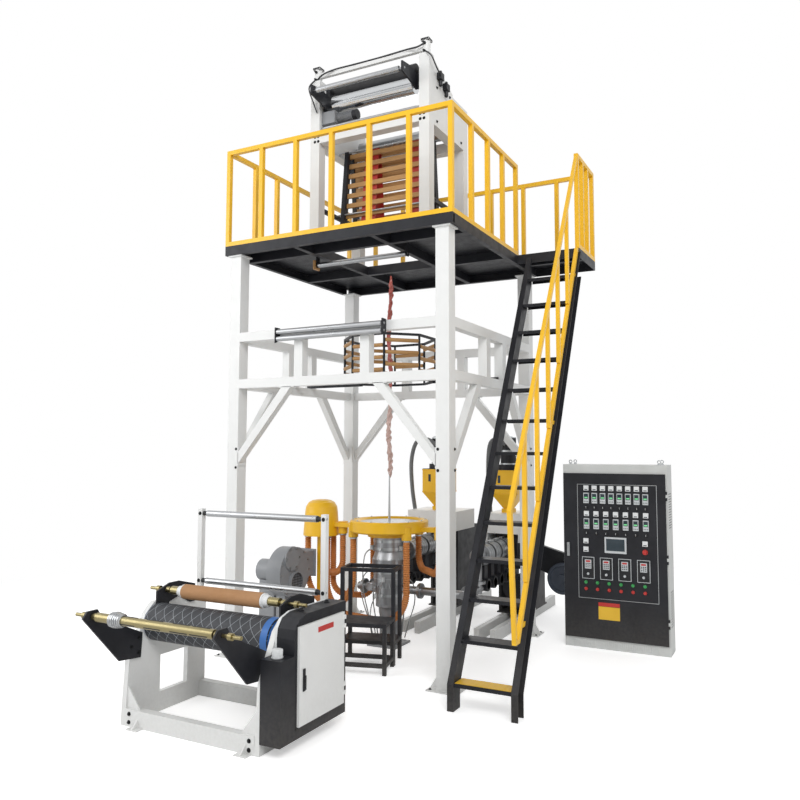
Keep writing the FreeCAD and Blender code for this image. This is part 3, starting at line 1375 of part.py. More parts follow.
# Winder motor on the inner face of the right side frame
wind_motor_y = size("wind_motor_y", -2250, "winder motor, in depth")
wind_motor_z = size("wind_motor_z", 300, "height of the winder motor")
wind_motor_r = size("wind_motor_r", 80, "winder motor")
wind_motor_long = size("wind_motor_long", 170, "length of the winder motor")
wind_flange = size("wind_flange", 120, "half width of the motor's flange")
motor_x = side_in_right - seat
motors.append(fuse(
    bar("X", (wind_motor_y, wind_motor_z), (motor_x - wind_motor_long, motor_x), wind_motor_r),
    box((motor_x - 12, motor_x), (wind_motor_y - wind_flange, wind_motor_y + wind_flange),
        (wind_motor_z - wind_flange, wind_motor_z + wind_flange))))
node("drive_motors", *motors)

# Control cabinet
cab_left = size("cab_left", 1535, "left of the control cabinet")
cab_wide = size("cab_wide", 980, "width of the control cabinet")
cab_front = size("cab_front", 745, "front of the control cabinet")
cab_deep = size("cab_deep", 260, "depth of the control cabinet")
cab_high = size("cab_high", 1735, "height of the control cabinet")
cab_sheet = size("cab_sheet", 20, "wall of the control cabinet")
door_low = size("door_low", 95, "underside of the cabinet door")
door_top = size("door_top", 1650, "top of the cabinet door")
cab_right = cab_left + cab_wide
cab_back = cab_front + cab_deep
panel_x = (cab_left + 6, cab_right - 15)
panel_y = (cab_front - seat - door_thick, cab_front - seat)
cab_hinge = (panel_x[1] + knuckle_r, panel_y[0])
door_side, case_side = hinges(
    cab_hinge, (door_low + 200, (door_low + door_top) / 2, door_top - 200),
    ((panel_x[1] - 9, cab_hinge[0]), (panel_y[0] - 6, panel_y[0])),
    ((cab_hinge[0] - 2, cab_hinge[0] + 4), (panel_y[0], cab_front)))
node("control_cabinet", fuse(
    cut(box((cab_left, cab_right), (cab_front, cab_back), (as_dim(0), cab_high)),
        box((cab_left + cab_sheet, cab_right - cab_sheet), (cab_front, cab_back - cab_sheet),
            (door_low + 15, door_top - 15))),
    *case_side))
node("control_cabinet_door", fuse(box(panel_x, panel_y, (door_low, door_top)), *door_side))

DOC.recompute()
os.makedirs("parts", exist_ok=True)
failed = [thing.Label for thing in DOC.Objects if "Invalid" in thing.State or "Error" in thing.State]
for part in NODES:
    if part.Shape.isNull() or not part.Shape.isValid():
        failed.append(part.Label)
if failed:
    raise RuntimeError(f"these did not build: {failed}")
for part in NODES:
    part.Shape.exportStep(f"parts/{part.Label}.step")
print(len(NODES), "sub-parts,", sum(len(part.Shape.Solids) for part in NODES), "solids")
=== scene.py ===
"""Dressed model of a blown film line: tower, haul-off, die, extruders, winder and control cabinet.

Each sub-assembly is a class that holds its sizes in metres and builds its own pieces.  The frame is the
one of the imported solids: origin on the floor under the die, +X right, +Y back, +Z up.
"""

from __future__ import annotations

import json
import logging
import math
from dataclasses import dataclass, field
from enum import Enum

import bmesh
import bpy
from mathutils import Matrix, Vector

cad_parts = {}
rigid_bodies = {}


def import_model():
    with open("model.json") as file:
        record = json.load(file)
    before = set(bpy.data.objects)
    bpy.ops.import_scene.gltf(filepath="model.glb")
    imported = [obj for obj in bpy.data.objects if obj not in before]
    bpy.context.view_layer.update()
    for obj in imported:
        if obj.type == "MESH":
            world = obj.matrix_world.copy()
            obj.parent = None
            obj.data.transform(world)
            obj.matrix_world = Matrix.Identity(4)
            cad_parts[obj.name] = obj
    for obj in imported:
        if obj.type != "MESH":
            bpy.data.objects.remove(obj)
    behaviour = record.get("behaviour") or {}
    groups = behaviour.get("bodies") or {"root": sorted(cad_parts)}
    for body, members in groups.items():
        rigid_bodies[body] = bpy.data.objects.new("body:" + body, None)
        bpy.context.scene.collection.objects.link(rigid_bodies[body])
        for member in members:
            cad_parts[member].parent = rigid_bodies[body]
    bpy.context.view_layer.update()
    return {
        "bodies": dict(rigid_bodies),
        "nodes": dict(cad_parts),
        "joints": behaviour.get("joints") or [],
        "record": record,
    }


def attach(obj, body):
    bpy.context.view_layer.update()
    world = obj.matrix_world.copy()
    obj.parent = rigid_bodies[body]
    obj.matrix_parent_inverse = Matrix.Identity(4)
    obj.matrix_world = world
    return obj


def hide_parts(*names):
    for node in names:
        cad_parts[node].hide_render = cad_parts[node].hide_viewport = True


LOG = logging.getLogger("blown_film_line")
MAIN = "frame_body"
Point = tuple[float, float, float]


class Axis(Enum):
    """The axis that a round or extruded shape runs along."""

    X = 0
    Y = 1
    Z = 2


class Pattern(Enum):
    """How a surface was worked, which gives its small-scale look."""

    SPRAYED = "sprayed"
    CAST = "cast"
    TURNED = "turned"
    BRUSHED = "brushed"
    SAWN = "sawn"
    MOULDED = "moulded"
    DIAMOND = "diamond"
    CHEQUERED = "chequered"
    WOUND = "wound"
    FILM = "film"


def linear(hex_colour: str) -> tuple[float, float, float, float]:
    """Turn an sRGB hex colour into linear light.

    Args:
        hex_colour: six hex digits.

    Returns:
        The linear red, green, blue and an alpha of one.
    """
    channels = []
    for start in (0, 2, 4):
        value = int(hex_colour[start:start + 2], 16) / 255
        channels.append(value / 12.92 if value <= 0.04045 else ((value + 0.055) / 1.055) ** 2.4)
    return (channels[0], channels[1], channels[2], 1.0)


def add(tree: bpy.types.NodeTree, kind: str, links: dict | None = None, values: dict | None = None,
        **settings: object) -> bpy.types.Node:
    """Add one node with its settings, its input values and its incoming links.

    Args:
        tree: the node tree.
        kind: the node's type name.
        links: input name or index to the output socket that feeds it.
        values: input name or index to its fixed value.
        settings: properties of the node itself.

    Returns:
        The new node.
    """
    made = tree.nodes.new(kind)
    for name, value in settings.items():
        setattr(made, name, value)
    for name, value in (values or {}).items():
        made.inputs[name].default_value = value
    for name, source in (links or {}).items():
        tree.links.new(source, made.inputs[name])
    return made


FLOOR_DIRT = "8a8378"


@dataclass(frozen=True)
class Finish:
    """One real material: its colour, its gloss and how its surface was worked."""

    name: str
    colour: str
    pattern: Pattern = Pattern.SPRAYED
    metallic: float = 0.0
    roughness: float = 0.4
    ior: float = 1.5
    grain_mm: float = 2.0
    relief_mm: float = 0.05
    wander: float = 0.08
    dust: float = 0.0
    glow: float = 0.0
    second: str = ""
    line_share: float = 0.05

    def build(self) -> bpy.types.Material:
        """Make the material, or give back the one already made."""
        if self.name in bpy.data.materials:
            return bpy.data.materials[self.name]
        material = bpy.data.materials.new(self.name)
        material.use_nodes = True
        tree = material.node_tree
        tree.nodes.clear()
        place = add(tree, "ShaderNodeTexCoord").outputs["Object"]
        tint, height = self.weave(tree, place)
        shader = add(
            tree, "ShaderNodeBsdfPrincipled", {"Base Color": tint},
            {"Metallic": self.metallic, "IOR": self.ior, "Roughness": self.roughness})
        gloss = add(
            tree, "ShaderNodeMapRange", {"Value": self.cloud(tree, place, 90.0)},
            {"From Min": 0.3, "From Max": 0.7, "To Min": self.roughness * 0.85,
             "To Max": min(1.0, self.roughness * 1.2)})
        tree.links.new(gloss.outputs["Result"], shader.inputs["Roughness"])
        bump = add(tree, "ShaderNodeBump", {"Height": height},
            {"Strength": 0.6, "Distance": self.relief_mm / 1000})
        tree.links.new(bump.outputs["Normal"], shader.inputs["Normal"])
        if self.glow:
            shader.inputs["Emission Color"].default_value = linear(self.colour)
            shader.inputs["Emission Strength"].default_value = self.glow
        add(tree, "ShaderNodeOutputMaterial", {"Surface": shader.outputs["BSDF"]})
        return material

    def cloud(self, tree: bpy.types.NodeTree, place: bpy.types.NodeSocket, size_mm: float,
              stretch: Point = (1.0, 1.0, 1.0)) -> bpy.types.NodeSocket:
        """A soft irregular pattern.

        Args:
            tree: the material's tree.
            place: coordinates in metres.
            size_mm: width of its spots.
            stretch: how much denser it is along each axis.

        Returns:
            The socket of its value.
        """
        mapped = add(tree, "ShaderNodeMapping", {"Vector": place}, {"Scale": stretch})
        noise = add(tree, "ShaderNodeTexNoise", {"Vector": mapped.outputs["Vector"]},
                    {"Scale": 1000 / size_mm, "Detail": 3.0, "Roughness": 0.55})
        return noise.outputs["Fac"]

    def shade(self, amount: float) -> str:
        """The finish's colour made darker (negative) or paler (positive), as hex."""
        parts = []
        for start in (0, 2, 4):
            value = int(self.colour[start:start + 2], 16)
            target = 255 if amount > 0 else 0
            parts.append(round(value + (target - value) * abs(amount)))
        return "".join(f"{part:02x}" for part in parts)

    def weave(self, tree: bpy.types.NodeTree,
              place: bpy.types.NodeSocket) -> tuple[bpy.types.NodeSocket, bpy.types.NodeSocket]:
        """Lay out the pattern of the surface.

        Args:
            tree: the material's tree.
            place: coordinates in metres.

        Returns:
            The sockets of the colour and of the height.
        """
        soft = self.cloud(tree, place, 160.0)
        coats = [(soft, self.shade(-self.wander), self.shade(self.wander))]
        if self.pattern in (Pattern.BRUSHED, Pattern.TURNED):
            # fine lines round the roll or along the sheet
            stretch = (30.0, 1.0, 1.0) if self.pattern is Pattern.TURNED else (1.0, 1.0, 30.0)
            fine = self.cloud(tree, place, self.grain_mm * 12, stretch)
            coats.append((fine, self.shade(-self.wander), ""))
        elif self.pattern is Pattern.SAWN:
            fine = self.cloud(tree, place, self.grain_mm, (0.04, 1.0, 1.0))
            coats.append((fine, self.second or self.shade(-0.3), ""))
        elif self.pattern is Pattern.DIAMOND:
            fine = self.lattice(tree, place)
            coats.append((fine, "", self.second or self.shade(0.15)))
        elif self.pattern is Pattern.CHEQUERED:
            fine = self.lattice(tree, place)
        elif self.pattern is Pattern.WOUND:
            fine = self.cloud(tree, place, self.grain_mm, (0.3, 1.0, 1.0))
            coats.append((fine, self.shade(-0.12), ""))
        else:
            fine = self.cloud(tree, place, self.grain_mm)
        if self.dust:
            # dirt settles near the floor and thins out upwards
            split = add(tree, "ShaderNodeSeparateXYZ", {"Vector": place})
            near = add(tree, "ShaderNodeMapRange", {"Value": split.outputs["Z"]},
                      {"From Min": 0.0, "From Max": 0.5, "To Min": self.dust, "To Max": 0.0})
            spots = self.cloud(tree, place, 25.0)
            amount = add(tree, "ShaderNodeMath", {0: near.outputs["Result"], 1: spots}, operation="MULTIPLY")
            coats.append((amount.outputs["Value"], "", FLOOR_DIRT))
        # each coat blends two colours; an empty one stands for the coats below it
        tint = None
        for amount, low, high in coats:
            coat = add(tree, "ShaderNodeMix", {"Factor": amount}, data_type="RGBA")
            for index, colour in ((6, low), (7, high)):
                if colour:
                    coat.inputs[index].default_value = linear(colour)
                else:
                    tree.links.new(tint, coat.inputs[index])
            tint = coat.outputs[2]
        return tint, fine

    def lattice(self, tree: bpy.types.NodeTree, place: bpy.types.NodeSocket) -> bpy.types.NodeSocket:
        """Crossed diagonal lines, grain_mm apart, as a value of one on the lines."""
        split = add(tree, "ShaderNodeSeparateXYZ", {"Vector": place})
        lines = []
        for turn in (-1.0, 1.0):
            side = add(tree, "ShaderNodeMath", {0: split.outputs["Z"]}, {1: turn}, operation="MULTIPLY")
            both = add(tree, "ShaderNodeMath", {0: split.outputs["X"], 1: side.outputs[0]}, operation="ADD")
            wide = add(tree, "ShaderNodeMath", {0: both.outputs[0]}, {1: 1000 / self.grain_mm},
                operation="MULTIPLY")
            part = add(tree, "ShaderNodeMath", {0: wide.outputs[0]}, operation="FRACT")
            lines.append(add(tree, "ShaderNodeMath", {0: part.outputs[0]}, {1: self.line_share},
                operation="LESS_THAN"))
        top = add(tree, "ShaderNodeMath", {0: lines[0].outputs[0], 1: lines[1].outputs[0]},
            operation="MAXIMUM")
        return top.outputs[0]


WHITE_PAINT = Finish("white_sprayed_steel", "e6e7e6", roughness=0.36, grain_mm=3.0, wander=0.03, dust=0.25)
BLACK_PAINT = Finish("black_sprayed_steel", "0e0f15", ior=1.38, roughness=0.46, grain_mm=3.0, wander=0.12,
    dust=0.25)
YELLOW_PAINT = Finish("yellow_sprayed_steel", "f4bd1a", roughness=0.34, grain_mm=3.0, wander=0.05)
GREY_PAINT = Finish("grey_sprayed_steel", "8d9094", roughness=0.42, grain_mm=3.0, wander=0.06, dust=0.3)
RED_PAINT = Finish("red_sprayed_steel", "b3271f", roughness=0.4, grain_mm=3.0)
CABINET_GREY = Finish("light_grey_textured_powder_coat", "cfd1cf", roughness=0.5, grain_mm=1.2, relief_mm=0.1)
CHROME = Finish("hard_chrome_plate", "d6d8da", Pattern.TURNED, metallic=1.0, roughness=0.16, grain_mm=1.0,
    wander=0.05)
STEEL = Finish("turned_steel", "b9bbbd", Pattern.TURNED, metallic=1.0, roughness=0.3, grain_mm=1.0,
    wander=0.08)
DULL_STEEL = Finish("mill_finish_steel", "a9abad", Pattern.BRUSHED, metallic=1.0, roughness=0.36, wander=0.12)
BRASS = Finish("yellow_brass_tube", "a1956c", Pattern.TURNED, metallic=1.0, roughness=0.34, wander=0.1)
RUBBER = Finish("nitrile_rubber", "17171a", Pattern.MOULDED, roughness=0.62, ior=1.5, grain_mm=0.8)
DRUM_COVER = Finish("diamond_rubber_cover", "23262b", Pattern.DIAMOND, roughness=0.55, grain_mm=85.0,
                    relief_mm=0.6, second="8b9095")
TIMBER = Finish("planed_beech", "c99b62", Pattern.SAWN, roughness=0.5, grain_mm=8.0, second="a97a45")
CARDBOARD = Finish("wound_paper_tube", "b98a5e", Pattern.WOUND, roughness=0.8, grain_mm=14.0)
CHEQUER = Finish("chequer_plate", "0f1016", Pattern.CHEQUERED, ior=1.38, roughness=0.4, grain_mm=40.0,
                 relief_mm=1.0, line_share=0.16)

ORANGE_HOSE = Finish("orange_silicone_hose", "cf7d38", Pattern.MOULDED, roughness=0.5, grain_mm=3.0,
    wander=0.12)
GREY_HOSE = Finish("grey_ribbed_hose", "6f7274", Pattern.MOULDED, roughness=0.5, grain_mm=2.0)
BLACK_HOSE = Finish("black_ribbed_hose", "202124", Pattern.MOULDED, roughness=0.5, grain_mm=2.0)
BLACK_ZINC = Finish("blackened_bolts", "2a2b2d", Pattern.TURNED, metallic=0.8, roughness=0.45)
BRIGHT_ZINC = Finish("zinc_plated_fittings", "c3c6c8", Pattern.TURNED, metallic=1.0, roughness=0.3)
BLACK_PLASTIC = Finish("black_moulded_plastic", "121316", Pattern.MOULDED, ior=1.42, roughness=0.45,
    grain_mm=0.6)
PALE_PLASTIC = Finish("pale_grey_moulded_plastic", "c9cdd0", Pattern.MOULDED, roughness=0.42, grain_mm=0.6)
WHITE_PLASTIC = Finish("white_moulded_plastic", "e9ebec", Pattern.MOULDED, roughness=0.4, grain_mm=0.6)
GREEN_PLASTIC = Finish("green_lens_plastic", "2f9a4c", Pattern.MOULDED, roughness=0.3, grain_mm=0.6)
RED_PLASTIC = Finish("red_lens_plastic", "c02a24", Pattern.MOULDED, roughness=0.3, grain_mm=0.6)
YELLOW_PLASTIC = Finish("yellow_moulded_plastic", "e9b82a", Pattern.MOULDED, roughness=0.45, grain_mm=0.8)
DARK_GLASS = Finish("dark_display_glass", "26343c", Pattern.MOULDED, roughness=0.12, grain_mm=40.0,
    relief_mm=0.0)
LIT_GREEN = Finish("green_display_segments", "6fd08a", Pattern.MOULDED, roughness=0.3, grain_mm=4.0,
    glow=0.35)
BLUE_GREY = Finish("blue_grey_sprayed_steel", "3a4250", roughness=0.5)
BLUE_PAINT = Finish("blue_sprayed_steel", "2462ad", roughness=0.4, grain_mm=3.0)
RED_FILM = Finish("red_polythene_film", "c8564a", Pattern.FILM, roughness=0.25, grain_mm=30.0, relief_mm=1.0,
    wander=0.2)
PALE_FILM = Finish("pink_polythene_film", "e0b9ae", Pattern.FILM, roughness=0.3, grain_mm=22.0,
    relief_mm=2.0, wander=0.2)
WIRE_BRAID = Finish("braided_steel_sleeve", "a5a7a8", Pattern.WOUND, metallic=0.8, roughness=0.4,
    grain_mm=3.0)

CARRIED: dict[Finish, tuple[str, ...]] = {
    WHITE_PAINT: (
        "tower_columns", "ring_beams", "ring_posts", "knee_braces", "haul_off_posts", "haul_off_beams",
        "nip_cylinders", "extruder_bases", "barrel_covers", "winder_frame", "winder_uprights",
        "winder_cabinet_door"),
    BLACK_PAINT: (
        "platform_frame", "stair_landing", "stair_stringers", "nip_side_arms", "nip_bearings", "board_uprights",
        "board_carriers", "roller_brackets", "barrel_fans", "bubble_cage_frame", "work_stand", "drive_motors",
        "winder_arms", "winder_cabinet", "control_cabinet_door", "extruder_gearboxes", "hopper_loaders"),
    CHEQUER: ("platform_deck", "stair_treads"),
    YELLOW_PAINT: (
        "front_and_back_railings", "side_railings", "stair_handrail", "air_distributor", "air_ring", "hoppers"),
    GREY_PAINT: ("blower", "die_base"),
    CABINET_GREY: ("control_cabinet",),
    CHROME: ("nip_chrome_roll",),
    RUBBER: ("nip_rubber_roll",),
    STEEL: (
        "upper_guide_roll", "rear_guide_roll", "opening_roller", "ring_roller_upper", "ring_roller_lower",
        "winder_upper_roller", "winder_lower_roller", "board_spindles"),
    DULL_STEEL: ("die_body", "extruder_barrels"),
    BRASS: ("front_air_shaft", "core_shaft"),
    DRUM_COVER: ("winding_drum",),
    TIMBER: ("board_slats", "bubble_cage_rollers"),
    CARDBOARD: ("paper_core",),
    RED_PAINT: ("board_rails",),
    ORANGE_HOSE: ("air_hoses",),
}


def dress(nodes: dict[str, bpy.types.Object]) -> None:
    """Give every carried-over node its finish.

    Args:
        nodes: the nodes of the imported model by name.
    """
    for finish, names in CARRIED.items():
        for name in names:
            mesh = nodes[name].data
            mesh.materials.clear()
            mesh.materials.append(finish.build())
    left = set(nodes) - {name for names in CARRIED.values() for name in names}
    LOG.info("dressed %d nodes, left %s", len(nodes) - len(left), sorted(left))


class Shape:
    """Solids of one finish gathered in one mesh, in metres of the machine's frame."""

    def __init__(self, name: str, finish: Finish) -> None:
        """Start an empty shape.

        Args:
            name: the piece's name.
            finish: its material.
        """
        self.name = name
        self.finish = finish
        self.mesh = bmesh.new()

    def loft(self, rings: list[list[Vector]], closed: bool = True) -> None:
        """Skin a row of rings that have the same number of points.

        Args:
            rings: the rings in order.
            closed: whether both ends get a face.
        """
        rows = [[self.mesh.verts.new(point) for point in ring] for ring in rings]
        count = len(rows[0])
        for first, second in zip(rows, rows[1:]):
            for index in range(count):
                after = (index + 1) % count
                self.mesh.faces.new((first[index], first[after], second[after], second[index]))
        if closed:
            self.mesh.faces.new(list(reversed(rows[0])))
            self.mesh.faces.new(rows[-1])

    def block(self, x: tuple[float, float], y: tuple[float, float], z: tuple[float, float],
              bevel: float = 0.0015) -> None:
        """Add a block with softened edges between two values on each axis."""
        size = Vector((x[1] - x[0], y[1] - y[0], z[1] - z[0]))
        middle = Vector((x[0] + x[1], y[0] + y[1], z[0] + z[1])) / 2
        made = bmesh.ops.create_cube(self.mesh, size=1.0,
            matrix=Matrix.Translation(middle) @ Matrix.Diagonal(size).to_4x4())
        edges = list({edge for vert in made["verts"] for edge in vert.link_edges})
        bmesh.ops.bevel(self.mesh, geom=edges, offset=min(bevel, min(size) * 0.3), segments=1, affect="EDGES")

    def round(self, axis: Axis, centre: Point, profile: list[tuple[float, float]], sides: int = 28) -> None:
        """Add a turned solid.

        Args:
            axis: the axis that it is turned about.
            centre: the point that the profile is counted from.
            profile: (distance along the axis, radius) pairs in order.
            sides: facets round it.
        """
        spin = [Matrix.Rotation(math.pi / 2, 3, "Y"), Matrix.Rotation(-math.pi / 2, 3, "X"),
            Matrix.Identity(3)][axis.value]
        rings = []
        for along, radius in profile:
            ring = []
            for index in range(sides):
                angle = math.tau * index / sides
                ring.append(Vector(centre) + spin @ Vector((radius * math.cos(angle),
                    radius * math.sin(angle), along)))
            rings.append(ring)
        self.loft(rings)

    def prism(self, axis: Axis, points: list[tuple[float, float]], span: tuple[float, float]) -> None:
        """Add an outline of the two other axes, run along an axis between two values."""
        rings = []
        for along in span:
            ring = []
            for u, v in points:
                spot = [u, v]
                spot.insert(axis.value, along)
                ring.append(Vector(spot))
            rings.append(ring)
        self.loft(rings)

    def tube(self, path: list[Point], radius: float, rib: float = 0.0, pitch: float = 0.02, sides: int = 12,
             smooth: bool = True) -> None:
        """Add a round cord or a ribbed hose along a path.

        Args:
            path: points that it goes through.
            radius: its radius.
            rib: depth of its ribs, none when zero.
            pitch: distance of its ribs.
            sides: facets round it.
            smooth: whether the path is rounded between its points.
        """
        points = [Vector(point) for point in path]
        if smooth and len(points) > 2:
            points = self.rounded(points)
        if rib:
            points = self.evenly(points, pitch / 2)
        rings = []
        side = None
        for index, point in enumerate(points):
            ahead = points[min(index + 1, len(points) - 1)] - points[max(index - 1, 0)]
            ahead.normalize()
            if side is None:
                side = ahead.orthogonal().normalized()
            side = (side - ahead * side.dot(ahead)).normalized()
            other = ahead.cross(side)
            reach = radius - (rib if rib and index % 2 else 0.0)
            rings.append([
                point + side * (reach * math.cos(math.tau * turn / sides))
                + other * (reach * math.sin(math.tau * turn / sides))
                for turn in range(sides)])
        self.loft(rings)

    @staticmethod
    def rounded(points: list[Vector]) -> list[Vector]:
        """A smooth line through the points."""
        line = []
        last = len(points) - 1
        for index in range(last):
            before, start = points[max(index - 1, 0)], points[index]
            end, after = points[index + 1], points[min(index + 2, last)]
            for step in range(8):
                part = step / 8
                line.append(0.5 * (
                    2 * start + (end - before) * part + (2 * before - 5 * start + 4 * end - after) * part ** 2
                    + (3 * start - before - 3 * end + after) * part ** 3))
        line.append(points[-1])
        return line

    @staticmethod
    def evenly(points: list[Vector], step: float) -> list[Vector]:
        """Points at an even distance along a line."""
        line = [points[0]]
        left = step
        for start, end in zip(points, points[1:]):
            run = (end - start).length
            at = 0.0
            while run - at >= left:
                at += left
                line.append(start.lerp(end, at / run))
                left = step
            left -= run - at
        return line

    def ride(self, body: str = MAIN, replaced: tuple[str, ...] = (),
            flat: bool = True) -> bpy.types.Object:
        """Close the mesh and hand it over.

        Args:
            body: the moving body that carries it.
            replaced: nodes of the solids that it stands for.
            flat: whether its faces stay flat.

        Returns:
            The finished object.
        """
        bmesh.ops.recalc_face_normals(self.mesh, faces=self.mesh.faces)
        data = bpy.data.meshes.new(self.name)
        self.mesh.to_mesh(data)
        self.mesh.free()
        data.materials.append(self.finish.build())
        for face in data.polygons:
            face.use_smooth = not flat
        if not flat:
            data.set_sharp_from_angle(angle=math.radians(32))
        made = bpy.data.objects.new(self.name, data)
        bpy.context.scene.collection.objects.link(made)
        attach(made, body)
        if replaced:
            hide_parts(*replaced)
        return made


@dataclass
class Bolts:
    """Hexagon heads on washers at many places, repeated by a node tree."""

    name: str
    across: float = 0.019
    sites: list[tuple[Point, Point]] = field(default_factory=list)
    finish: Finish = BLACK_ZINC
    body: str = MAIN
    slot: str = "steel_black"

    def put(self, facing: Point, *spots: Point) -> "Bolts":
        """Add heads at some spots.

        Args:
            facing: the direction that the heads point in.
            spots: where their washers lie.

        Returns:
            These bolts.
        """
        self.sites.extend((spot, facing) for spot in spots)
        return self

    def build(self) -> bpy.types.Object:
        """Grow the heads on the sites and hand the plain mesh over."""
        data = bpy.data.meshes.new(self.name)
        data.from_pydata([spot for spot, _ in self.sites], [], [])
        facing = data.attributes.new("facing", "FLOAT_VECTOR", "POINT")
        facing.data.foreach_set("vector", [value for _, way in self.sites for value in way])
        made = bpy.data.objects.new(self.name, data)
        bpy.context.scene.collection.objects.link(made)
        tree, sockets = self.tree()
        modifier = made.modifiers.new("heads", "NODES")
        modifier.node_group = tree
        modifier[sockets["Across"]] = self.across
        modifier[sockets["Finish"]] = self.finish.build()
        graph = bpy.context.evaluated_depsgraph_get()
        plain = bpy.data.meshes.new_from_object(made.evaluated_get(graph), depsgraph=graph)
        made.modifiers.clear()
        made.data = plain
        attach(made, self.body)
        return made

    def tree(self) -> tuple[bpy.types.NodeTree, dict[str, str]]:
        """Write the node tree that turns each point into a bolt head.

        Returns:
            The tree and the identifiers of its inputs by name.
        """
        tree = bpy.data.node_groups.new(self.name + "_tree", "GeometryNodeTree")
        face = tree.interface
        face.new_socket("Geometry", in_out="INPUT", socket_type="NodeSocketGeometry")
        sockets = {}
        for name, kind in (("Across", "NodeSocketFloat"), ("Finish", "NodeSocketMaterial")):
            sockets[name] = face.new_socket(name, in_out="INPUT", socket_type=kind).identifier
        face.new_socket("Geometry", in_out="OUTPUT", socket_type="NodeSocketGeometry")
        given = add(tree, "NodeGroupInput")
        half = add(tree, "ShaderNodeMath", {0: given.outputs["Across"]}, {1: 0.5}, operation="MULTIPLY")
        high = add(tree, "ShaderNodeMath", {0: given.outputs["Across"]}, {1: 0.62}, operation="MULTIPLY")
        wide = add(tree, "ShaderNodeMath", {0: given.outputs["Across"]}, {1: 0.85}, operation="MULTIPLY")
        thin = add(tree, "ShaderNodeMath", {0: given.outputs["Across"]}, {1: 0.12}, operation="MULTIPLY")
        parts = []
        for sides, radius, depth in ((6, half, high), (16, wide, thin)):
            body = add(tree, "GeometryNodeMeshCylinder",
                       {"Radius": radius.outputs[0], "Depth": depth.outputs[0]}, {"Vertices": sides})
            rise = add(tree, "ShaderNodeMath", {0: depth.outputs[0]}, {1: 0.5}, operation="MULTIPLY")
            lift = add(tree, "ShaderNodeCombineXYZ", {"Z": rise.outputs[0]})
            parts.append(add(tree, "GeometryNodeTransform",
                             {"Geometry": body.outputs["Mesh"], "Translation": lift.outputs[0]}))
        both = add(tree, "GeometryNodeJoinGeometry")
        for part in parts:
            tree.links.new(part.outputs[0], both.inputs[0])
        way = add(tree, "GeometryNodeInputNamedAttribute", values={"Name": "facing"},
            data_type="FLOAT_VECTOR")
        turn = add(tree, "FunctionNodeAlignRotationToVector", {"Vector": way.outputs[0]}, axis="Z")
        spread = add(tree, "GeometryNodeInstanceOnPoints",
                     {"Points": given.outputs["Geometry"], "Instance": both.outputs[0],
                         "Rotation": turn.outputs[0]})
        real = add(tree, "GeometryNodeRealizeInstances", {"Geometry": spread.outputs[0]})
        painted = add(tree, "GeometryNodeSetMaterial",
                      {"Geometry": real.outputs[0], "Material": given.outputs["Finish"]})
        add(tree, "NodeGroupOutput", {"Geometry": painted.outputs[0]})
        return tree, sockets


def mirrored(x: float, y: float, z: float) -> list[Point]:
    """The four places of a point in a plan that is symmetrical both ways."""
    return [(sx * x, sy * y, z) for sx in (-1, 1) for sy in (-1, 1)]


def circle(axis: Axis, centre: Point, radius: float, count: int, start: float = 0.0) -> list[Point]:
    """Evenly spread points on a circle about an axis."""
    spots = []
    for index in range(count):
        angle = start + math.tau * index / count
        offset = [radius * math.cos(angle), radius * math.sin(angle)]
        offset.insert(axis.value, 0.0)
        spots.append(tuple(a + b for a, b in zip(centre, offset)))
    return spots


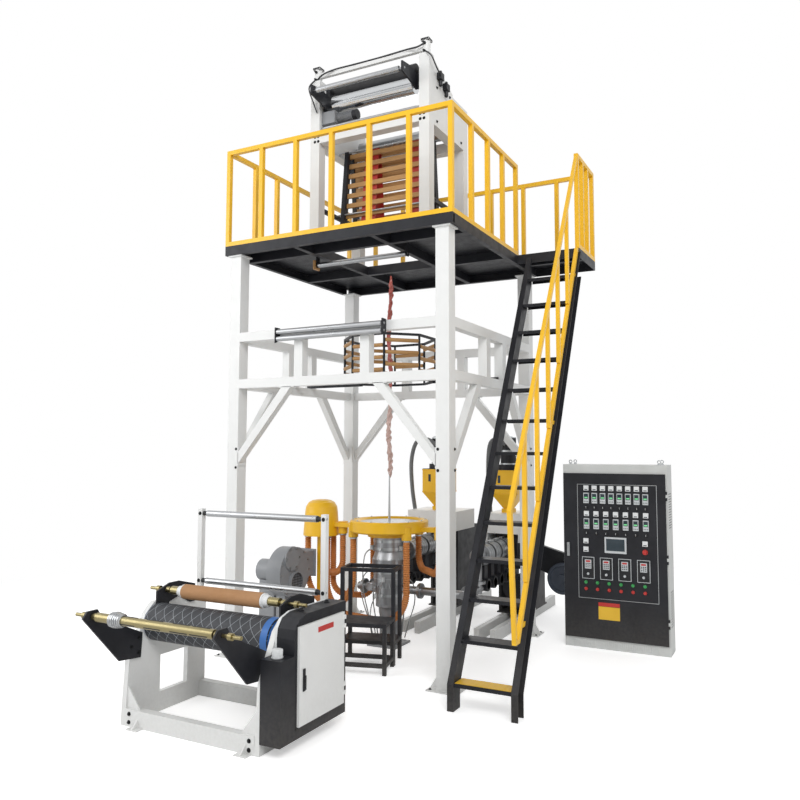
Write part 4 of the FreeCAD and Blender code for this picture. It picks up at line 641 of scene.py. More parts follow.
@dataclass
class ControlPanel:
    """Instruments on the door of the control cabinet."""

    face: float = 0.7267
    pitch: float = 0.0791
    first: float = 1.766
    body: str = "control_cabinet_door_body"

    def block(self, name: str, finish: Finish, slot: str,
            boxes: list[tuple[float, float, float, float, float]],
              base: float = 0.0) -> None:
        """Add plates on the door, each given by its middle, width, height and depth."""
        shape = Shape(name, finish)
        for x, z, wide, high, deep in boxes:
            shape.block((x - wide / 2, x + wide / 2), (self.face - base - deep, self.face - base + 0.001),
                        (z - high / 2, z + high / 2))
        shape.ride(self.body)

    def dials(self, name: str, finish: Finish, spots: list[tuple[float, float]], radius: float,
              deep: float) -> None:
        """Add round knobs or lamps on the door, each at (x, z)."""
        shape = Shape(name, finish)
        for x, z in spots:
            shape.round(Axis.Y, (x, self.face, z), [
                (0.001, radius * 1.25), (-0.004, radius * 1.25), (-0.004, radius), (-deep, radius * 0.92),
                (-deep - 0.002, radius * 0.6)], 18)
        shape.ride(self.body, flat=False)

    def build(self) -> None:
        """Build all instruments."""
        upper = [self.first + self.pitch * index for index in range(8)]
        lower = [self.first + self.pitch * 7 / 6 * index for index in range(7)]
        columns = [(x, 0.0) for x in upper] + [(x, -0.243) for x in lower]
        edge = [(2.05, 1.545, 0.74, 0.006, 0.004), (2.05, 0.47, 0.74, 0.006, 0.004),
                (1.68, 1.0075, 0.006, 1.08, 0.004), (2.42, 1.0075, 0.006, 1.08, 0.004)]
        self.block("panel_trim", BRIGHT_ZINC, "bright_steel", edge)
        meters = [(x, 1.51 + drop, 0.048, 0.048, 0.012) for x, drop in columns]
        meters += [(1.757, 1.008, 0.048, 0.048, 0.012), (1.756, 0.928, 0.048, 0.048, 0.012),
                   (2.309, 1.007, 0.048, 0.048, 0.012)]
        self.block("panel_meters", WHITE_PLASTIC, "cabinet_grey", meters)
        self.block("meter_faces", DARK_GLASS, "steel_black",
                   [(x, z - 0.014, 0.03, 0.008, 0.001) for x, z, *_ in meters], 0.012)
        bodies = [(x, 1.415 + drop, 0.052, 0.1, 0.014) for x, drop in columns]
        self.block("panel_controllers", PALE_PLASTIC, "cabinet_grey", bodies)
        self.block("controller_windows", DARK_GLASS, "steel_black",
                   [(x, z + 0.016, 0.04, 0.05, 0.001) for x, z, *_ in bodies], 0.014)
        self.block("controller_digits", LIT_GREEN, "cabinet_grey",
                   [(x, z + 0.004, 0.03, 0.012, 0.001) for x, z, *_ in bodies], 0.015)
        self.block("controller_keys", BLACK_PLASTIC, "steel_black",
                   [(x + dx, z - 0.032, 0.009, 0.007, 0.001) for x, z,
                       *_ in bodies for dx in (-0.015, 0.0, 0.015)],
                   0.014)
        knobs = [(x, 1.327 + drop) for x, drop in columns]
        self.dials("panel_switches", BLACK_PLASTIC, knobs, 0.011, 0.018)
        self.block("switch_marks", WHITE_PLASTIC, "cabinet_grey",
            [(x, z, 0.003, 0.018, 0.001) for x, z in knobs], 0.0195)
        self.block("touch_panel_case", PALE_PLASTIC, "cabinet_grey", [(2.0365, 0.978, 0.204, 0.15, 0.01)])
        self.block("touch_panel_glass", DARK_GLASS, "steel_black", [(2.0365, 0.981, 0.172, 0.112, 0.001)],
            0.01)
        drives = [(1.776 + 0.172 * index, 0.755) for index in range(4)]
        self.block("drive_keypads", BLACK_PLASTIC, "steel_black",
            [(x, z, 0.112, 0.2, 0.012) for x, z in drives])
        self.block("drive_keypad_rims", PALE_PLASTIC, "bright_steel",
                   [(x, z + dz, 0.116, 0.005, 0.014) for x, z in drives for dz in (-0.1, 0.1)]
                   + [(x + dx, z, 0.005, 0.205, 0.014) for x, z in drives for dx in (-0.056, 0.056)])
        self.block("drive_faces", PALE_PLASTIC, "cabinet_grey",
                   [(x, z + 0.035, 0.062, 0.085, 0.004) for x, z in drives], 0.012)
        self.block("drive_displays", RED_PLASTIC, "rail_red",
                   [(x, z + 0.062, 0.044, 0.016, 0.001) for x, z in drives], 0.016)
        self.block("drive_keys", BLACK_PLASTIC, "steel_black",
                   [(x + dx, z + dz, 0.012, 0.009, 0.001) for x, z in drives
                    for dx in (-0.018, 0.0, 0.018) for dz in (0.008, 0.025, 0.04)], 0.016)
        self.dials("drive_dials", PALE_PLASTIC, [(x, z - 0.055) for x, z in drives], 0.012,
            0.026)
        places = [1.75 + 0.11 * index for index in range(6)]
        self.dials("start_buttons", GREEN_PLASTIC, [(x, 0.617) for x in places], 0.013, 0.016)
        self.dials("stop_buttons", RED_PLASTIC, [(x, 0.556) for x in places], 0.013, 0.016)
        self.dials("emergency_stop", RED_PLASTIC, [(2.307, 0.93)], 0.02, 0.035)
        self.block("bare_label_plate", YELLOW_PLASTIC, "rail_yellow", [(1.965, 0.34, 0.2, 0.12, 0.0015)])
        self.block("bare_label_head", RED_PLASTIC, "rail_red", [(1.965, 0.42, 0.2, 0.035, 0.0015)])
        self.block("door_lock", BRIGHT_ZINC, "bright_steel", [(1.585, 0.92, 0.026, 0.13, 0.014)])
        self.top()

    def top(self) -> None:
        """Lifting eyes on the roof and louvres in the plinth and the sides."""
        eyes = Shape("lifting_eyes", BRIGHT_ZINC)
        for x in (1.6, 2.44):
            for y in (0.79, 0.96):
                eyes.round(Axis.Z, (x, y, 1.735),
                    [(0.0, 0.016), (0.008, 0.016), (0.008, 0.008), (0.014, 0.008)], 16)
                ring = [(x + 0.014 * math.cos(a), y, 1.762 + 0.014 * math.sin(a)) for a in
                        [math.tau * step / 16 - math.pi / 2 for step in range(17)]]
                eyes.tube(ring, 0.0045, sides=8, smooth=False)
        eyes.ride(flat=False)
        slats = Shape("plinth_louvres", CABINET_GREY)
        for index in range(40):
            x = 1.62 + 0.02 * index
            slats.prism(Axis.Z, [(x, 0.7452), (x + 0.004, 0.741), (x + 0.011, 0.7452)], (0.02, 0.075))
        slats.ride()
        sides = Shape("side_louvres", BLACK_PLASTIC)
        for first in (0.25, 1.15):
            for index in range(14):
                z = first + 0.024 * index
                for x in ((1.5342, 1.5352), (2.5148, 2.5158)):
                    sides.block(x, (0.8, 0.95), (z, z + 0.006))
        sides.ride()


@dataclass
class AirHoses:
    """Ribbed orange hoses between the distributor, the air ring and its arms."""

    radius: float = 0.034
    runs: tuple[tuple[Point, Point, float, float], ...] = (
        ((-0.87, 0.084, 1.0047), (-0.56, 0.036, 1.0297), 0.62, 0.14),
        ((-0.92, -0.061, 1.0047), (-0.2975, -0.1844, 1.0297), 0.35, 0.3),
        ((-0.70, -0.035, 1.0047), (0.2928, -0.1917, 1.0297), 0.25, 0.3),
        ((-0.74, 0.136, 1.0047), (-0.2932, 0.1911, 1.0297), 0.40, 0.14),
        ((0.1652, 0.3086, 1.0297), (0.56, -0.036, 1.0297), 0.70, 0.14))

    def build(self) -> None:
        """Build the hoses and the steel bands at their ends."""
        hoses = Shape("ribbed_air_hoses", ORANGE_HOSE)
        bands = Shape("hose_bands", BRIGHT_ZINC)
        for start, end, low, bend in self.runs:
            flat = Vector((end[0] - start[0], end[1] - start[1], 0.0))
            way = flat.normalized()
            first, last = Vector(start), Vector(end)
            path = [first]
            for centre, turn in ((first + way * bend, math.pi), (last - way * bend, math.tau * 0.75)):
                for step in range(13):
                    angle = turn + math.pi / 2 * step / 12
                    spot = centre + way * (bend * math.cos(angle))
                    spot.z = low + bend + bend * math.sin(angle)
                    path.append(spot)
            path.append(last)
            hoses.tube([tuple(point) for point in path], self.radius, 0.0075, 0.021, 18, smooth=False)
            for spot, side in ((first, -1.0), (last, -1.0)):
                bands.round(Axis.Z, tuple(spot), [
                    (-0.004, self.radius + 0.0005), (-0.004, self.radius + 0.003), (-0.016,
                        self.radius + 0.003),
                    (-0.016, self.radius + 0.0005)], 24)
        hoses.ride(replaced=("air_hoses",), flat=False)
        bands.ride(flat=False)


@dataclass
class TowerDetails:
    """Bolts of the tower, the mat on the stair and the film that runs up from the die."""

    column: tuple[float, float] = (1.137, 1.054)
    wide: float = 0.12
    foot_bolts: tuple[float, float] = (0.972, 1.182)
    brace_bolts: tuple[float, float] = (1.715, 1.885)
    brace_foot: tuple[float, float] = (1.73, 1.9)
    film_rings: int = 110
    film_folds: int = 12
    film_turns: float = 26.0

    def build(self) -> None:
        """Build the tower's small pieces."""
        outer_x, outer_y = self.column
        inner_x = outer_x - self.wide
        bolts = Bolts("tower_bolts", 0.015)
        for y in (0.92, 1.07):
            for x in self.foot_bolts:
                bolts.put((0, 0, 1), *mirrored(x, y, 0.012))
        for side in (-1, 1):
            for z in self.brace_bolts:
                bolts.put((0, side, 0), *[(x, side * outer_y, z) for x in (-1.035, 1.035)])
                bolts.put((side, 0, 0), *[(side * outer_x, y, z) for y in (-0.952, 0.952)])
        bolts.build()
        plates = Shape("brace_end_plates", WHITE_PAINT)
        for sx in (-1, 1):
            for sy in (-1, 1):
                x = sorted((sx * (inner_x - 0.008), sx * inner_x))
                plates.block(tuple(x), tuple(sorted((sy * 0.94, sy * outer_y))), self.brace_foot)
                y = sorted((sy * 0.926, sy * 0.934))
                plates.block(tuple(sorted((sx * 1.02, sx * outer_x))), tuple(y), self.brace_foot)
                x = sorted((sx * 0.39, sx * 0.56))
                plates.block(tuple(x), tuple(sorted((sy * 0.97, sy * outer_y))), (2.438, 2.446))
        plates.ride()
        mat = Shape("bare_tread_mat", YELLOW_PLASTIC)
        mat.block((1.335, 1.765), (-1.405, -1.272), (0.2, 0.203))
        for index in range(10):
            x = 1.35 + 0.042 * index
            mat.block((x, x + 0.02), (-1.398, -1.279), (0.203, 0.2045), 0.0005)
        mat.ride()

    def film(self) -> None:
        """The limp film that is threaded from the die to the rollers."""
        rod = Shape("threading_rod", BRIGHT_ZINC)
        rod.round(Axis.Z, (0, 0, 1.06), [(0.0, 0.016), (0.12, 0.012), (0.5, 0.007), (0.62, 0.006)], 14)
        rod.ride(flat=False)
        for name, finish, low, high, wide in (
                ("film_tail", PALE_FILM, 1.60, 2.50, 0.034), ("film_strip", RED_FILM, 2.46, 3.62, 0.03)):
            strand = Shape(name, finish)
            rings = []
            for step in range(self.film_rings + 1):
                part = step / self.film_rings
                z = low + (high - low) * part
                twist = self.film_turns * part
                reach = wide * (0.8 + 0.12 * math.sin(31 * part) + 0.08 * math.sin(77 * part))
                reach *= min(1.0, 0.25 + 9 * part, 0.4 + 9 * (1 - part))
                middle = Vector((0.008 * math.sin(9 * part), 0.008 * math.cos(7 * part), z))
                ring = []
                for index in range(self.film_folds):
                    angle = math.tau * index / self.film_folds
                    fold = 0.78 + 0.22 * math.cos(3 * angle + 1.3 * math.sin(19 * part))
                    ring.append(middle + Vector((
                        reach * fold * math.cos(angle + twist), reach * fold * math.sin(angle + twist), 0)))
                rings.append(ring)
            strand.loft(rings)
            strand.ride(flat=False)


@dataclass
class WinderDetails:
    """Fittings of the surface winder."""

    left: float = -0.611
    right: float = 0.589
    drum: tuple[float, float] = (-2.41, 0.65)
    shaft: tuple[float, float] = (-2.968, 0.793)
    core: tuple[float, float] = (-2.33, 0.862)

    def build(self) -> None:
        """Build all fittings."""
        self.shafts()
        self.frames()
        self.cabinet()

    def shafts(self) -> None:
        """The ribbed cone and strips on the front shaft, chucks on the core and the drum's end band."""
        cone = Shape("shaft_cone", STEEL)
        profile = [(0.0, 0.03)]
        for index in range(6):
            reach = 0.0525 - 0.0025 * abs(index - 2)
            profile += [(0.012 + 0.016 * index, reach), (0.02 + 0.016 * index, reach),
                (0.022 + 0.016 * index, reach - 0.006)]
        profile += [(0.112, 0.036), (0.112, 0.0305)]
        cone.round(Axis.X, (-0.384, *self.shaft), profile, 32)
        cone.ride("front_air_shaft_body", flat=False)
        strips = Shape("air_shaft_strips", RUBBER)
        for x in (-0.22, 0.0, 0.22, 0.38):
            for y, z in ((0.0, 0.0295), (0.0256, -0.0148), (-0.0256, -0.0148)):
                strips.block((x - 0.07, x + 0.07), (self.shaft[0] + y - 0.004, self.shaft[0] + y + 0.004),
                             (self.shaft[1] + z - 0.003, self.shaft[1] + z + 0.003))
        strips.ride("front_air_shaft_body")
        chucks = Shape("core_chucks", WHITE_PLASTIC)
        for x, way in ((-0.376, -1), (0.336, 1)):
            chucks.round(Axis.X, (x, *self.core), [
                (0.0, 0.0302), (0.0, 0.05), (way * 0.012, 0.05), (way * 0.012, 0.042), (way * 0.05, 0.036),
                (way * 0.05, 0.0302)], 28)
        chucks.ride("core_shaft_body", flat=False)
        band = Shape("drum_end_band", BLUE_PAINT)
        band.round(Axis.X, (0.475, *self.drum),
            [(0.0, 0.1302), (0.0, 0.1325), (0.053, 0.1325), (0.053, 0.1302)], 72)
        for side, x in ((-1, -0.5515), (1, 0.5295)):
            band.round(Axis.X, (x, *self.drum), [
                (0.0, 0.034), (0.0, 0.118), (side * 0.003, 0.112), (side * 0.003, 0.034)], 48)
        band.ride("winding_drum_body", flat=False)
        for name, z in (("upper", 1.385), ("lower", 0.868)):
            ends = Shape(f"{name}_roller_ends", BLACK_PLASTIC)
            for x, way in ((-0.571, 1), (0.549, -1)):
                ends.round(Axis.X, (x, -1.95, z), [
                    (way * 0.002, 0.0103), (way * 0.002, 0.017), (way * 0.03, 0.017), (way * 0.034, 0.021),
                    (way * 0.0445, 0.021), (way * 0.0445, 0.0103)], 20)
            ends.ride(f"winder_{name}_roller_body", flat=False)

    def frames(self) -> None:
        """Bearing caps, arm bolts, feet and the ends of the pins."""
        feet = Shape("winder_feet", WHITE_PAINT)
        for x in (-0.5, 0.43):
            feet.block((x, x + 0.1), (-2.725, -2.67), (0.0, 0.008))
            feet.prism(Axis.X, [(-2.72, 0.008), (-2.67, 0.008), (-2.67, 0.06)], (x + 0.045, x + 0.055))
        feet.ride()
        caps = Shape("drum_bearing_caps", BLACK_PAINT)
        for x, way in ((self.left, -1), (self.right, 1)):
            if way < 0:
                caps.round(Axis.X, (x, *self.drum), [
                    (0.0, 0.03), (0.0, 0.07), (way * 0.012, 0.07), (way * 0.016, 0.064), (way * 0.016, 0.044),
                    (way * 0.03, 0.04), (way * 0.03, 0.01)], 36)
        caps.ride(flat=False)
        bolts = Bolts("winder_bolts", 0.017)
        y, z = self.drum
        bolts.put((-1, 0, 0), *circle(Axis.X, (self.left - 0.014, y, z), 0.056, 6))
        for x, way in ((-0.557, 1), (0.535, -1)):
            bolts.put((way, 0, 0), (x, -2.575, 0.57), (x, -2.575, 0.47), (x, -2.64, 0.52), (x, -2.21, 0.86),
                (x, -2.09, 0.835))
        bolts.put((-1, 0, 0), (-0.611, -2.575, 0.57), (-0.611, -2.575, 0.47), (-0.611, -2.64, 0.52))
        bolts.put((0, -1, 0), (-0.53, -2.67, 0.03), (-0.53, -2.67, 0.085), (0.51, -2.67, 0.03),
            (0.51, -2.67, 0.085))
        for x in (-0.591, 0.569):
            bolts.put((0, -1, 0), (x, -1.97, 1.385), (x, -1.97, 0.868))
        bolts.build()

    def cabinet(self) -> None:
        """Edge strip, door frame, handle, knob and bare label of the drive cabinet."""
        frame = Shape("cabinet_door_frame", BLACK_PAINT)
        x = (0.745, 0.7475)
        for y, z in (((-2.515, -2.503), (0.135, 0.78)), ((-2.515, -1.955), (0.768, 0.78)),
                ((-2.515, -1.955), (0.135, 0.147))):
            frame.block(x, y, z, 0.0008)
        frame.ride()
        strip = Shape("cabinet_edge_strip", WHITE_PLASTIC)
        edge = [(-2.5305, 0.60), (-2.5305, 0.69), (-2.5205, 0.7505), (-2.48, 0.8055), (-2.40, 0.8305),
            (-1.96, 0.8305)]
        for (y0, z0), (y1, z1) in zip(edge, edge[1:]):
            way = Vector((0.0, y1 - y0, z1 - z0)).normalized()
            lift = Vector((0.0, way.z, -way.y)) * -0.003
            strip.prism(Axis.X, [(y0, z0), (y1, z1), (y1 + lift.y, z1 + lift.z), (y0 + lift.y, z0 + lift.z)],
                (0.592, 0.606))
        strip.ride()
        knob = Shape("speed_knob", WHITE_PLASTIC)
        knob.round(Axis.Z, (0.665, -2.6, 0.59), [(0.0, 0.036), (0.006, 0.038), (0.008, 0.032)], 36)
        for index in range(20):
            angle = math.tau * index / 20
            y, x = -2.6 + 0.03 * math.sin(angle), 0.665 + 0.03 * math.cos(angle)
            knob.round(Axis.Z, (x, y, 0.598), [(0.0, 0.0045), (0.042, 0.004), (0.045, 0.002)], 8)
        knob.round(Axis.Z, (0.665, -2.6, 0.598),
            [(0.0, 0.03), (0.043, 0.029), (0.047, 0.024), (0.048, 0.01)], 36)
        knob.ride(flat=False)
        label = Shape("bare_red_plate", RED_PLASTIC)
        label.block((0.7633, 0.7645), (-2.3, -2.12), (0.69, 0.725), 0.0005)
        label.ride("winder_cabinet_door_body")
        handle = Shape("cabinet_door_handle", BLACK_PLASTIC)
        handle.block((0.7633, 0.772), (-2.467, -2.443), (0.36, 0.5), 0.004)
        handle.block((0.772, 0.782), (-2.463, -2.447), (0.37, 0.46), 0.004)
        handle.ride("winder_cabinet_door_body")
        rest = Shape("cabinet_top_fittings", BLACK_PLASTIC)
        for y in (-2.35, -2.05):
            rest.round(Axis.Z, (0.66, y, 0.83),
                [(0.0, 0.02), (0.006, 0.02), (0.008, 0.012), (0.02, 0.011), (0.022, 0.006)], 18)
        rest.ride(flat=False)


@dataclass
class HaulOffDetails:
    """Cylinders, air lines and small units of the haul-off."""

    post_x: float = 0.6125
    post_y: float = -0.4035
    top: float = 5.56

    def build(self) -> None:
        """Build all fittings."""
        caps = Shape("cylinder_caps", BLACK_PLASTIC)
        for x in (-self.post_x, self.post_x):
            caps.block((x - 0.043, x + 0.043), (self.post_y - 0.043, self.post_y + 0.043), (5.7095, 5.7349),
                0.004)
            caps.round(Axis.Y, (x, self.post_y - 0.04, 5.60), [
                (0.0, 0.014), (-0.012, 0.014), (-0.014, 0.009), (-0.03, 0.009), (-0.031, 0.004)], 14)
            caps.round(Axis.Y, (x, self.post_y - 0.036, 5.68), [
                (0.0, 0.014), (-0.014, 0.014), (-0.016, 0.009), (-0.03, 0.009), (-0.031, 0.004)], 14)
        caps.ride(flat=False)
        line = Shape("tie_bar_hose", BLACK_HOSE)
        line.tube([(-0.6, -0.44, 5.60), (-0.52, -0.46, 5.63), (-0.4, -0.43, 5.668), (-0.2, -0.42, 5.672),
                   (0.1, -0.42, 5.67), (0.4, -0.43, 5.67), (0.54, -0.46, 5.65), (0.6, -0.44,
                       5.68)], 0.009, 0.0015, 0.006, 10)
        line.tube([(0.62, -0.45, 5.60), (0.70, -0.48, 5.52), (0.715, -0.4, 5.44), (0.70, -0.28, 5.42)],
            0.007, sides=8)
        line.tube([(-0.62, -0.45, 5.60), (-0.66, -0.5, 5.5), (-0.62, -0.48, 5.35), (-0.58, -0.47, 5.24)],
            0.007, sides=8)
        line.ride(flat=False)
        units = Shape("air_units", BLACK_PLASTIC)
        for y, z in ((-0.26, 5.42), (-0.13, 5.37)):
            units.block((0.665, 0.715), (y - 0.035, y + 0.035), (z - 0.04, z + 0.03), 0.004)
            units.round(Axis.Z, (0.69, y, z - 0.04), [(0.0, 0.018), (-0.05, 0.018), (-0.06, 0.01)], 18)
            units.round(Axis.Z, (0.69, y, z + 0.03), [(0.0, 0.014), (0.02, 0.014), (0.024, 0.01)], 18)
        units.ride(flat=False)
        block = Shape("roller_timber_block", TIMBER)
        block.block((-0.52, -0.4965), (-0.60, -0.51), (3.615, 3.705), 0.004)
        block.ride()
        bars = Shape("spreader_bars", STEEL)
        for z, y in ((5.09, -0.42), (5.07, -0.36), (5.105, -0.30)):
            bars.round(Axis.X, (-0.555, y, z),
                [(0.0, 0.011), (0.04, 0.011), (0.04, 0.014), (1.07, 0.014), (1.07, 0.011), (1.11, 0.011)], 18)
        bars.ride(flat=False)
        bolts = Bolts("haul_off_bolts", 0.017)
        for x, way in ((-0.665, -1), (0.665, 1)):
            bolts.put((way, 0, 0), *[(x, y, z) for y in (-0.29, 0.27) for z in (4.97, 5.3)], (x, 0.0, 4.97),
                (x, 0.0, 5.33))
            for z in (3.84, 4.95, 5.0):
                bolts.put((0, -1, 0), (x * 0.92, -0.456, z), (x * 0.92 - 0.04 * way, -0.456, z))
        bolts.build()
        motor = Shape("haul_off_motor_cover", GREY_PAINT)
        motor.block((-0.56, -0.403), (-0.417, -0.285), (5.13, 5.2615), 0.004)
        for index in range(14):
            x = -0.4 + 0.013 * index
            motor.round(Axis.X, (x, -0.351, 5.196), [(0.0, 0.05), (0.006, 0.05)], 28)
        motor.ride()


@dataclass
class DieDetails:
    """Clamps, bolts, sleeves and the air ring's fittings round the die."""

    def build(self) -> None:
        """Build all fittings."""
        bolts = Bolts("die_bolts", 0.02, finish=BRIGHT_ZINC, slot="die_steel")
        bolts.put((0, 0, 1), *circle(Axis.Z, (0, 0, 0.82), 0.152, 14),
            *circle(Axis.Z, (0, 0, 1.035), 0.14, 12))
        bolts.put((0, 0, -1), *circle(Axis.Z, (0, 0, 0.77), 0.157, 14))
        bolts.build()
        bands = Shape("heater_clamps", BRIGHT_ZINC)
        for z in (0.48, 0.63, 0.70, 0.755, 0.925, 0.995):
            reach = {0.48: 0.131, 0.925: 0.159}.get(z, 0.151)
            bands.round(Axis.Z, (0, 0, z), [(-0.012, reach), (-0.012, reach + 0.0025),
                (0.012, reach + 0.0025), (0.012, reach)], 48)
            bands.block((-0.012, 0.012), (-reach - 0.02, -reach), (z - 0.012, z + 0.012))
        for index in range(30):
            angle = math.tau * index / 30
            x, y = 0.156 * math.cos(angle), 0.156 * math.sin(angle)
            bands.round(Axis.Z, (x, y, 0.556), [(0.0, 0.005), (0.048, 0.005)], 8)
        bands.ride(flat=False)
        boxes = Shape("heater_plugs", PALE_PLASTIC)
        sleeves = Shape("heater_sleeves", WIRE_BRAID)
        for index in range(11):
            angle = -0.35 - 0.52 * index
            z = (0.93, 0.72, 0.64, 0.48)[index % 4]
            x, y = math.cos(angle), math.sin(angle)
            spot = (0.172 * x, 0.172 * y, z)
            boxes.round(Axis.Z, (spot[0], spot[1], z - 0.02),
                [(0.0, 0.014), (0.0, 0.018), (0.04, 0.018), (0.04, 0.01)], 12)
            reach = 0.225 + 0.02 * (index % 3)
            sleeves.tube([(0.185 * x, 0.185 * y, z - 0.015), (reach * x, reach * y, z - 0.09),
                          (reach * 1.05 * x, reach * 1.05 * y, z * 0.6), (0.2 * x, 0.2 * y,
                              0.2 + 0.02 * (index % 5)),
                          (0.16 * x - 0.03, 0.16 * y + 0.05, 0.035)], 0.0065, 0.0012, 0.006, 8)
        boxes.ride(flat=False)
        sleeves.ride(flat=False)
        lip = Shape("die_lip_ring", STEEL)
        lip.round(Axis.Z, (0, 0, 1.0752), [(0.0, 0.04), (0.0, 0.088), (0.006, 0.084), (0.006, 0.044)], 56)
        lip.round(Axis.Z, (0, 0, 1.171), [(0.0, 0.203), (0.0, 0.295), (0.006, 0.29), (0.01, 0.215)], 72)
        lip.ride(flat=False)
        ring_bolts = Bolts("air_ring_bolts", 0.014, finish=BRIGHT_ZINC, slot="bright_steel")
        ring_bolts.put((0, 0, 1), *circle(Axis.Z, (0, 0, 1.195), 0.352, 12))
        ring_bolts.build()


@dataclass
class ExtruderDetails:
    """Heater bands, fans, sight glasses and loader hoses of the two extruders."""

    axes: tuple[float, float] = (-0.027, 0.8)
    high: float = 0.85

    def build(self) -> None:
        """Build all fittings."""
        clamps = Shape("barrel_clamps", BRIGHT_ZINC)
        fins = Shape("fan_guards", BLACK_PLASTIC)
        glass = Shape("hopper_sight_glasses", DARK_GLASS)
        rims = Shape("hopper_rims", YELLOW_PAINT)
        for x in self.axes:
            for index in range(4):
                start = 0.39 + 0.18 * index
                for y in (start + 0.02, start + 0.07, start + 0.12):
                    clamps.round(Axis.Y, (x, y, self.high), [
                        (-0.006, 0.1002), (-0.006, 0.1028), (0.006, 0.1028), (0.006, 0.1002)], 36)
                clamps.block((x - 0.018, x + 0.018), (start + 0.01, start + 0.13),
                    (self.high + 0.1, self.high + 0.118))
                for side in (-1, 1):
                    for step in range(4):
                        reach = 0.058 - 0.014 * step
                        fins.round(Axis.X, (x + side * 0.0555, start + 0.07, 0.56), [
                            (0.0, reach - 0.004), (0.0, reach), (side * 0.005, reach), (side * 0.005,
                                reach - 0.004)], 24)
            glass.block((x - 0.07, x - 0.04), (1.0565, 1.0573), (1.52, 1.60), 0.0003)
            for z in (1.40, 1.645):
                for y in (1.0535, 1.3425):
                    rims.block((x - 0.146, x + 0.146), (y, y + 0.004), (z, z + 0.012), 0.001)
                for side in (-0.146, 0.1425):
                    rims.block((x + side, x + side + 0.0035), (1.0535, 1.3465), (z, z + 0.012), 0.001)
        clamps.ride(flat=False)
        fins.ride(flat=False)
        glass.ride()
        rims.ride()
        guard = Shape("side_belt_guard", BLACK_PAINT)
        guard.prism(Axis.Y, [(0.968, 0.86), (1.34, 0.76), (1.37, 0.70), (1.37, 0.50), (1.30, 0.47),
            (0.968, 0.60)],
                    (1.49, 1.55))
        guard.ride()
        wheel = Shape("belt_wheel", BLUE_GREY)
        wheel.round(Axis.Y, (1.31, 1.49, 0.50), [
            (0.0, 0.165), (-0.06, 0.165), (-0.064, 0.155), (-0.064, 0.135), (-0.05, 0.13), (-0.05, 0.05),
            (-0.075, 0.045), (-0.075, 0.02)], 48)
        wheel.ride(flat=False)
        hose = Shape("loader_hoses", GREY_HOSE)
        hose.tube([(-0.027, 1.115, 1.93), (-0.12, 1.08, 1.99), (-0.24, 1.05, 1.96), (-0.30, 1.04, 1.75),
                   (-0.30, 1.06, 1.45), (-0.28, 1.09, 1.21)], 0.024, 0.003, 0.012, 14)
        hose.tube([(0.8, 1.115, 1.93), (0.72, 1.08, 1.99), (0.64, 1.06, 1.92), (0.62, 1.06, 1.6),
            (0.63, 1.09, 1.21)],
                  0.024, 0.003, 0.012, 14)
        hose.ride(flat=False)
        lids = Shape("loader_clamps", BRIGHT_ZINC)
        for x in self.axes:
            for z in (1.72, 1.86):
                lids.round(Axis.Z, (x, 1.2, z), [(-0.01, 0.0852), (-0.01, 0.089), (0.01, 0.089),
                    (0.01, 0.0852)], 36)
            lids.round(Axis.Z, (x, 1.2, 2.0), [(0.0, 0.086), (0.012, 0.084), (0.03, 0.06), (0.036, 0.02)], 36)
        lids.ride(flat=False)
        inlet = Shape("blower_inlet_mesh", BLACK_PLASTIC)
        for index in range(7):
            offset = -0.075 + 0.025 * index
            reach = math.sqrt(0.088 ** 2 - offset ** 2)
            inlet.block((-0.774, -0.772), (-0.44 - reach, -0.44 + reach), (0.598 + offset, 0.602 + offset),
                0.0005)
            inlet.block((-0.7725, -0.7705), (-0.442 + offset, -0.438 + offset), (0.6 - reach, 0.6 + reach),
                0.0005)
        inlet.ride()
        bolts = Bolts("blower_bolts", 0.014, finish=BRIGHT_ZINC, slot="bright_steel")
        bolts.put((1, 0, 0), *circle(Axis.X, (-0.8, -0.44, 0.69), 0.225, 14),
            *circle(Axis.X, (-0.782, -0.5, 0.83), 0.1, 6))
        bolts.build()


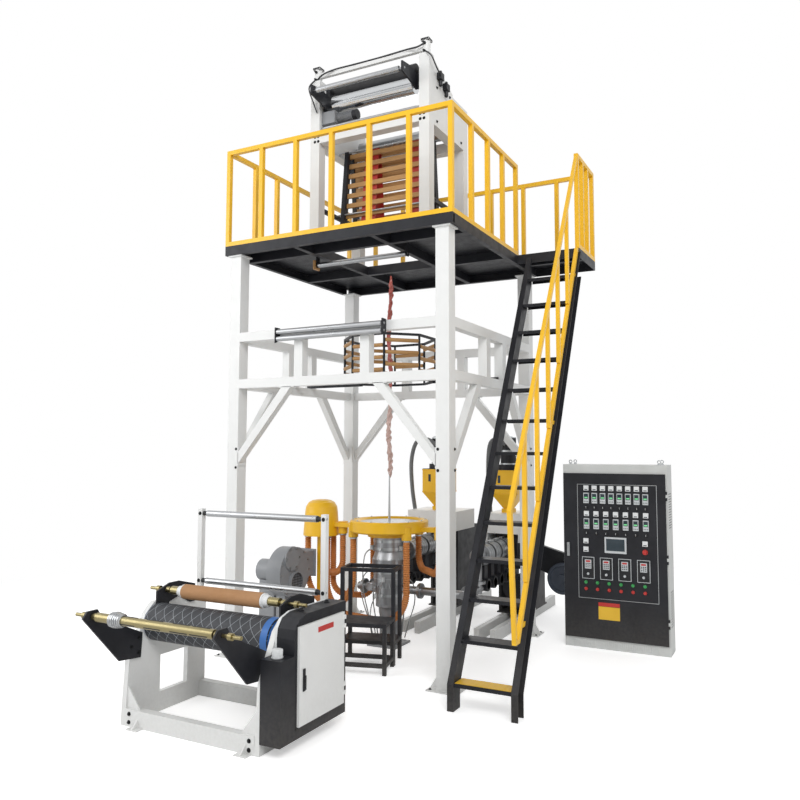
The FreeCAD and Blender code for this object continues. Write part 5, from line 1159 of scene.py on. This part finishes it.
@dataclass
class Studio:
    """Floor, lamps, world and the camera of the photograph."""

    eye: Point = (3.6180, -6.4310, 1.8987)
    yaw: float = 0.4695
    pitch: float = 0.0764
    lens: float = 33.46
    shift: tuple[float, float] = (-0.0270, -0.0118)
    floor_half: float = 30.0
    floor_lift: float = 0.40
    fade: tuple[float, float] = (3.6, 6.5)

    def build(self) -> None:
        """Set up everything that is not part of the machine."""
        scene = bpy.context.scene
        scene.view_settings.view_transform = "Standard"
        self.camera()
        self.ground()
        self.sky()
        for name, spot, aim, size, power in (
                ("key_lamp", (6.5, -9.0, 9.0), (0.0, 0.0, 2.2), 5.0, 650.0),
                ("fill_lamp", (-8.0, -7.0, 5.0), (0.0, 0.0, 2.0), 6.0, 340.0),
                ("back_lamp", (-2.0, 9.0, 8.0), (0.0, 0.0, 2.5), 6.0, 260.0)):
            self.lamp(name, spot, aim, size, power)

    def camera(self) -> None:
        """Place the camera that the photograph was taken with."""
        data = bpy.data.cameras.new("photo_camera")
        data.lens = self.lens
        data.sensor_width = 36.0
        data.shift_x, data.shift_y = self.shift
        data.clip_end = 200.0
        eye = bpy.data.objects.new("photo_camera", data)
        eye.location = self.eye
        eye.rotation_euler = (math.pi / 2 + self.pitch, 0.0, self.yaw)
        bpy.context.scene.collection.objects.link(eye)
        bpy.context.scene.camera = eye

    def ground(self) -> None:
        """Lay the pale floor, which shows as plain white to the camera and keeps the shadow."""
        half = self.floor_half
        mesh = bpy.data.meshes.new("studio_floor")
        corners = [(-half, -half, 0), (half, -half, 0), (half, half, 0), (-half, half, 0)]
        mesh.from_pydata(corners, [], [(0, 1, 2, 3)])
        material = bpy.data.materials.new("pale_floor")
        material.use_nodes = True
        tree = material.node_tree
        tree.nodes.clear()
        place = add(tree, "ShaderNodeTexCoord").outputs["Object"]
        far = add(tree, "ShaderNodeVectorMath", {0: place}, operation="LENGTH")
        fade = add(tree, "ShaderNodeMapRange", {"Value": far.outputs["Value"]},
                   {"From Min": self.fade[0], "From Max": self.fade[1]}, interpolation_type="SMOOTHSTEP")
        matt = add(tree, "ShaderNodeBsdfDiffuse", values={"Color": linear("fafafa")})
        lift = add(tree, "ShaderNodeEmission", values={"Color": (1, 1, 1, 1), "Strength": self.floor_lift})
        near = add(tree, "ShaderNodeAddShader", {0: matt.outputs[0], 1: lift.outputs[0]})
        plain = add(tree, "ShaderNodeEmission", values={"Color": (1, 1, 1, 1), "Strength": 1.0})
        shown = add(tree, "ShaderNodeMixShader",
            {0: fade.outputs["Result"], 1: near.outputs[0], 2: plain.outputs[0]})
        rays = add(tree, "ShaderNodeLightPath")
        both = add(tree, "ShaderNodeMixShader",
                   {0: rays.outputs["Is Camera Ray"], 1: matt.outputs[0], 2: shown.outputs[0]})
        add(tree, "ShaderNodeOutputMaterial", {"Surface": both.outputs[0]})
        mesh.materials.append(material)
        floor = bpy.data.objects.new("studio_floor", mesh)
        bpy.context.scene.collection.objects.link(floor)

    def sky(self) -> None:
        """Light the machine evenly and show plain white behind it."""
        world = bpy.data.worlds.new("studio_sky")
        bpy.context.scene.world = world
        world.use_nodes = True
        tree = world.node_tree
        tree.nodes.clear()
        rays = add(tree, "ShaderNodeLightPath")
        seen = add(tree, "ShaderNodeMath",
                   {0: rays.outputs["Is Camera Ray"], 1: rays.outputs["Is Glossy Ray"]}, operation="MAXIMUM")
        seen = add(tree, "ShaderNodeMath",
                   {0: seen.outputs[0], 1: rays.outputs["Is Transmission Ray"]}, operation="MAXIMUM")
        soft = add(tree, "ShaderNodeBackground", values={"Color": (1, 1, 1, 1), "Strength": 0.55})
        plain = add(tree, "ShaderNodeBackground", values={"Color": (1, 1, 1, 1), "Strength": 1.0})
        both = add(tree, "ShaderNodeMixShader", {0: seen.outputs[0], 1: soft.outputs[0], 2: plain.outputs[0]})
        add(tree, "ShaderNodeOutputWorld", {"Surface": both.outputs[0]})

    def lamp(self, name: str, spot: Point, aim: Point, size: float, power: float) -> None:
        """Hang one soft lamp.

        Args:
            name: the lamp's name.
            spot: where it hangs.
            aim: the point that it faces.
            size: its width.
            power: its power in watts.
        """
        data = bpy.data.lights.new(name, "AREA")
        data.size = size
        data.energy = power
        lamp = bpy.data.objects.new(name, data)
        lamp.location = spot
        lamp.rotation_euler = (Vector(aim) - Vector(spot)).to_track_quat("-Z", "Y").to_euler()
        bpy.context.scene.collection.objects.link(lamp)


def main() -> None:
    """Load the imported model, dress it and build the pieces that the solids leave out."""
    logging.basicConfig(level=logging.INFO, format="%(name)s %(message)s")
    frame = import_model()
    Studio().build()
    dress(frame["nodes"])
    for group in (ControlPanel(), AirHoses(), TowerDetails(), WinderDetails(), HaulOffDetails(), DieDetails(),
                  ExtruderDetails()):
        group.build()
    TowerDetails().film()


if __name__ == "__main__":
    main()
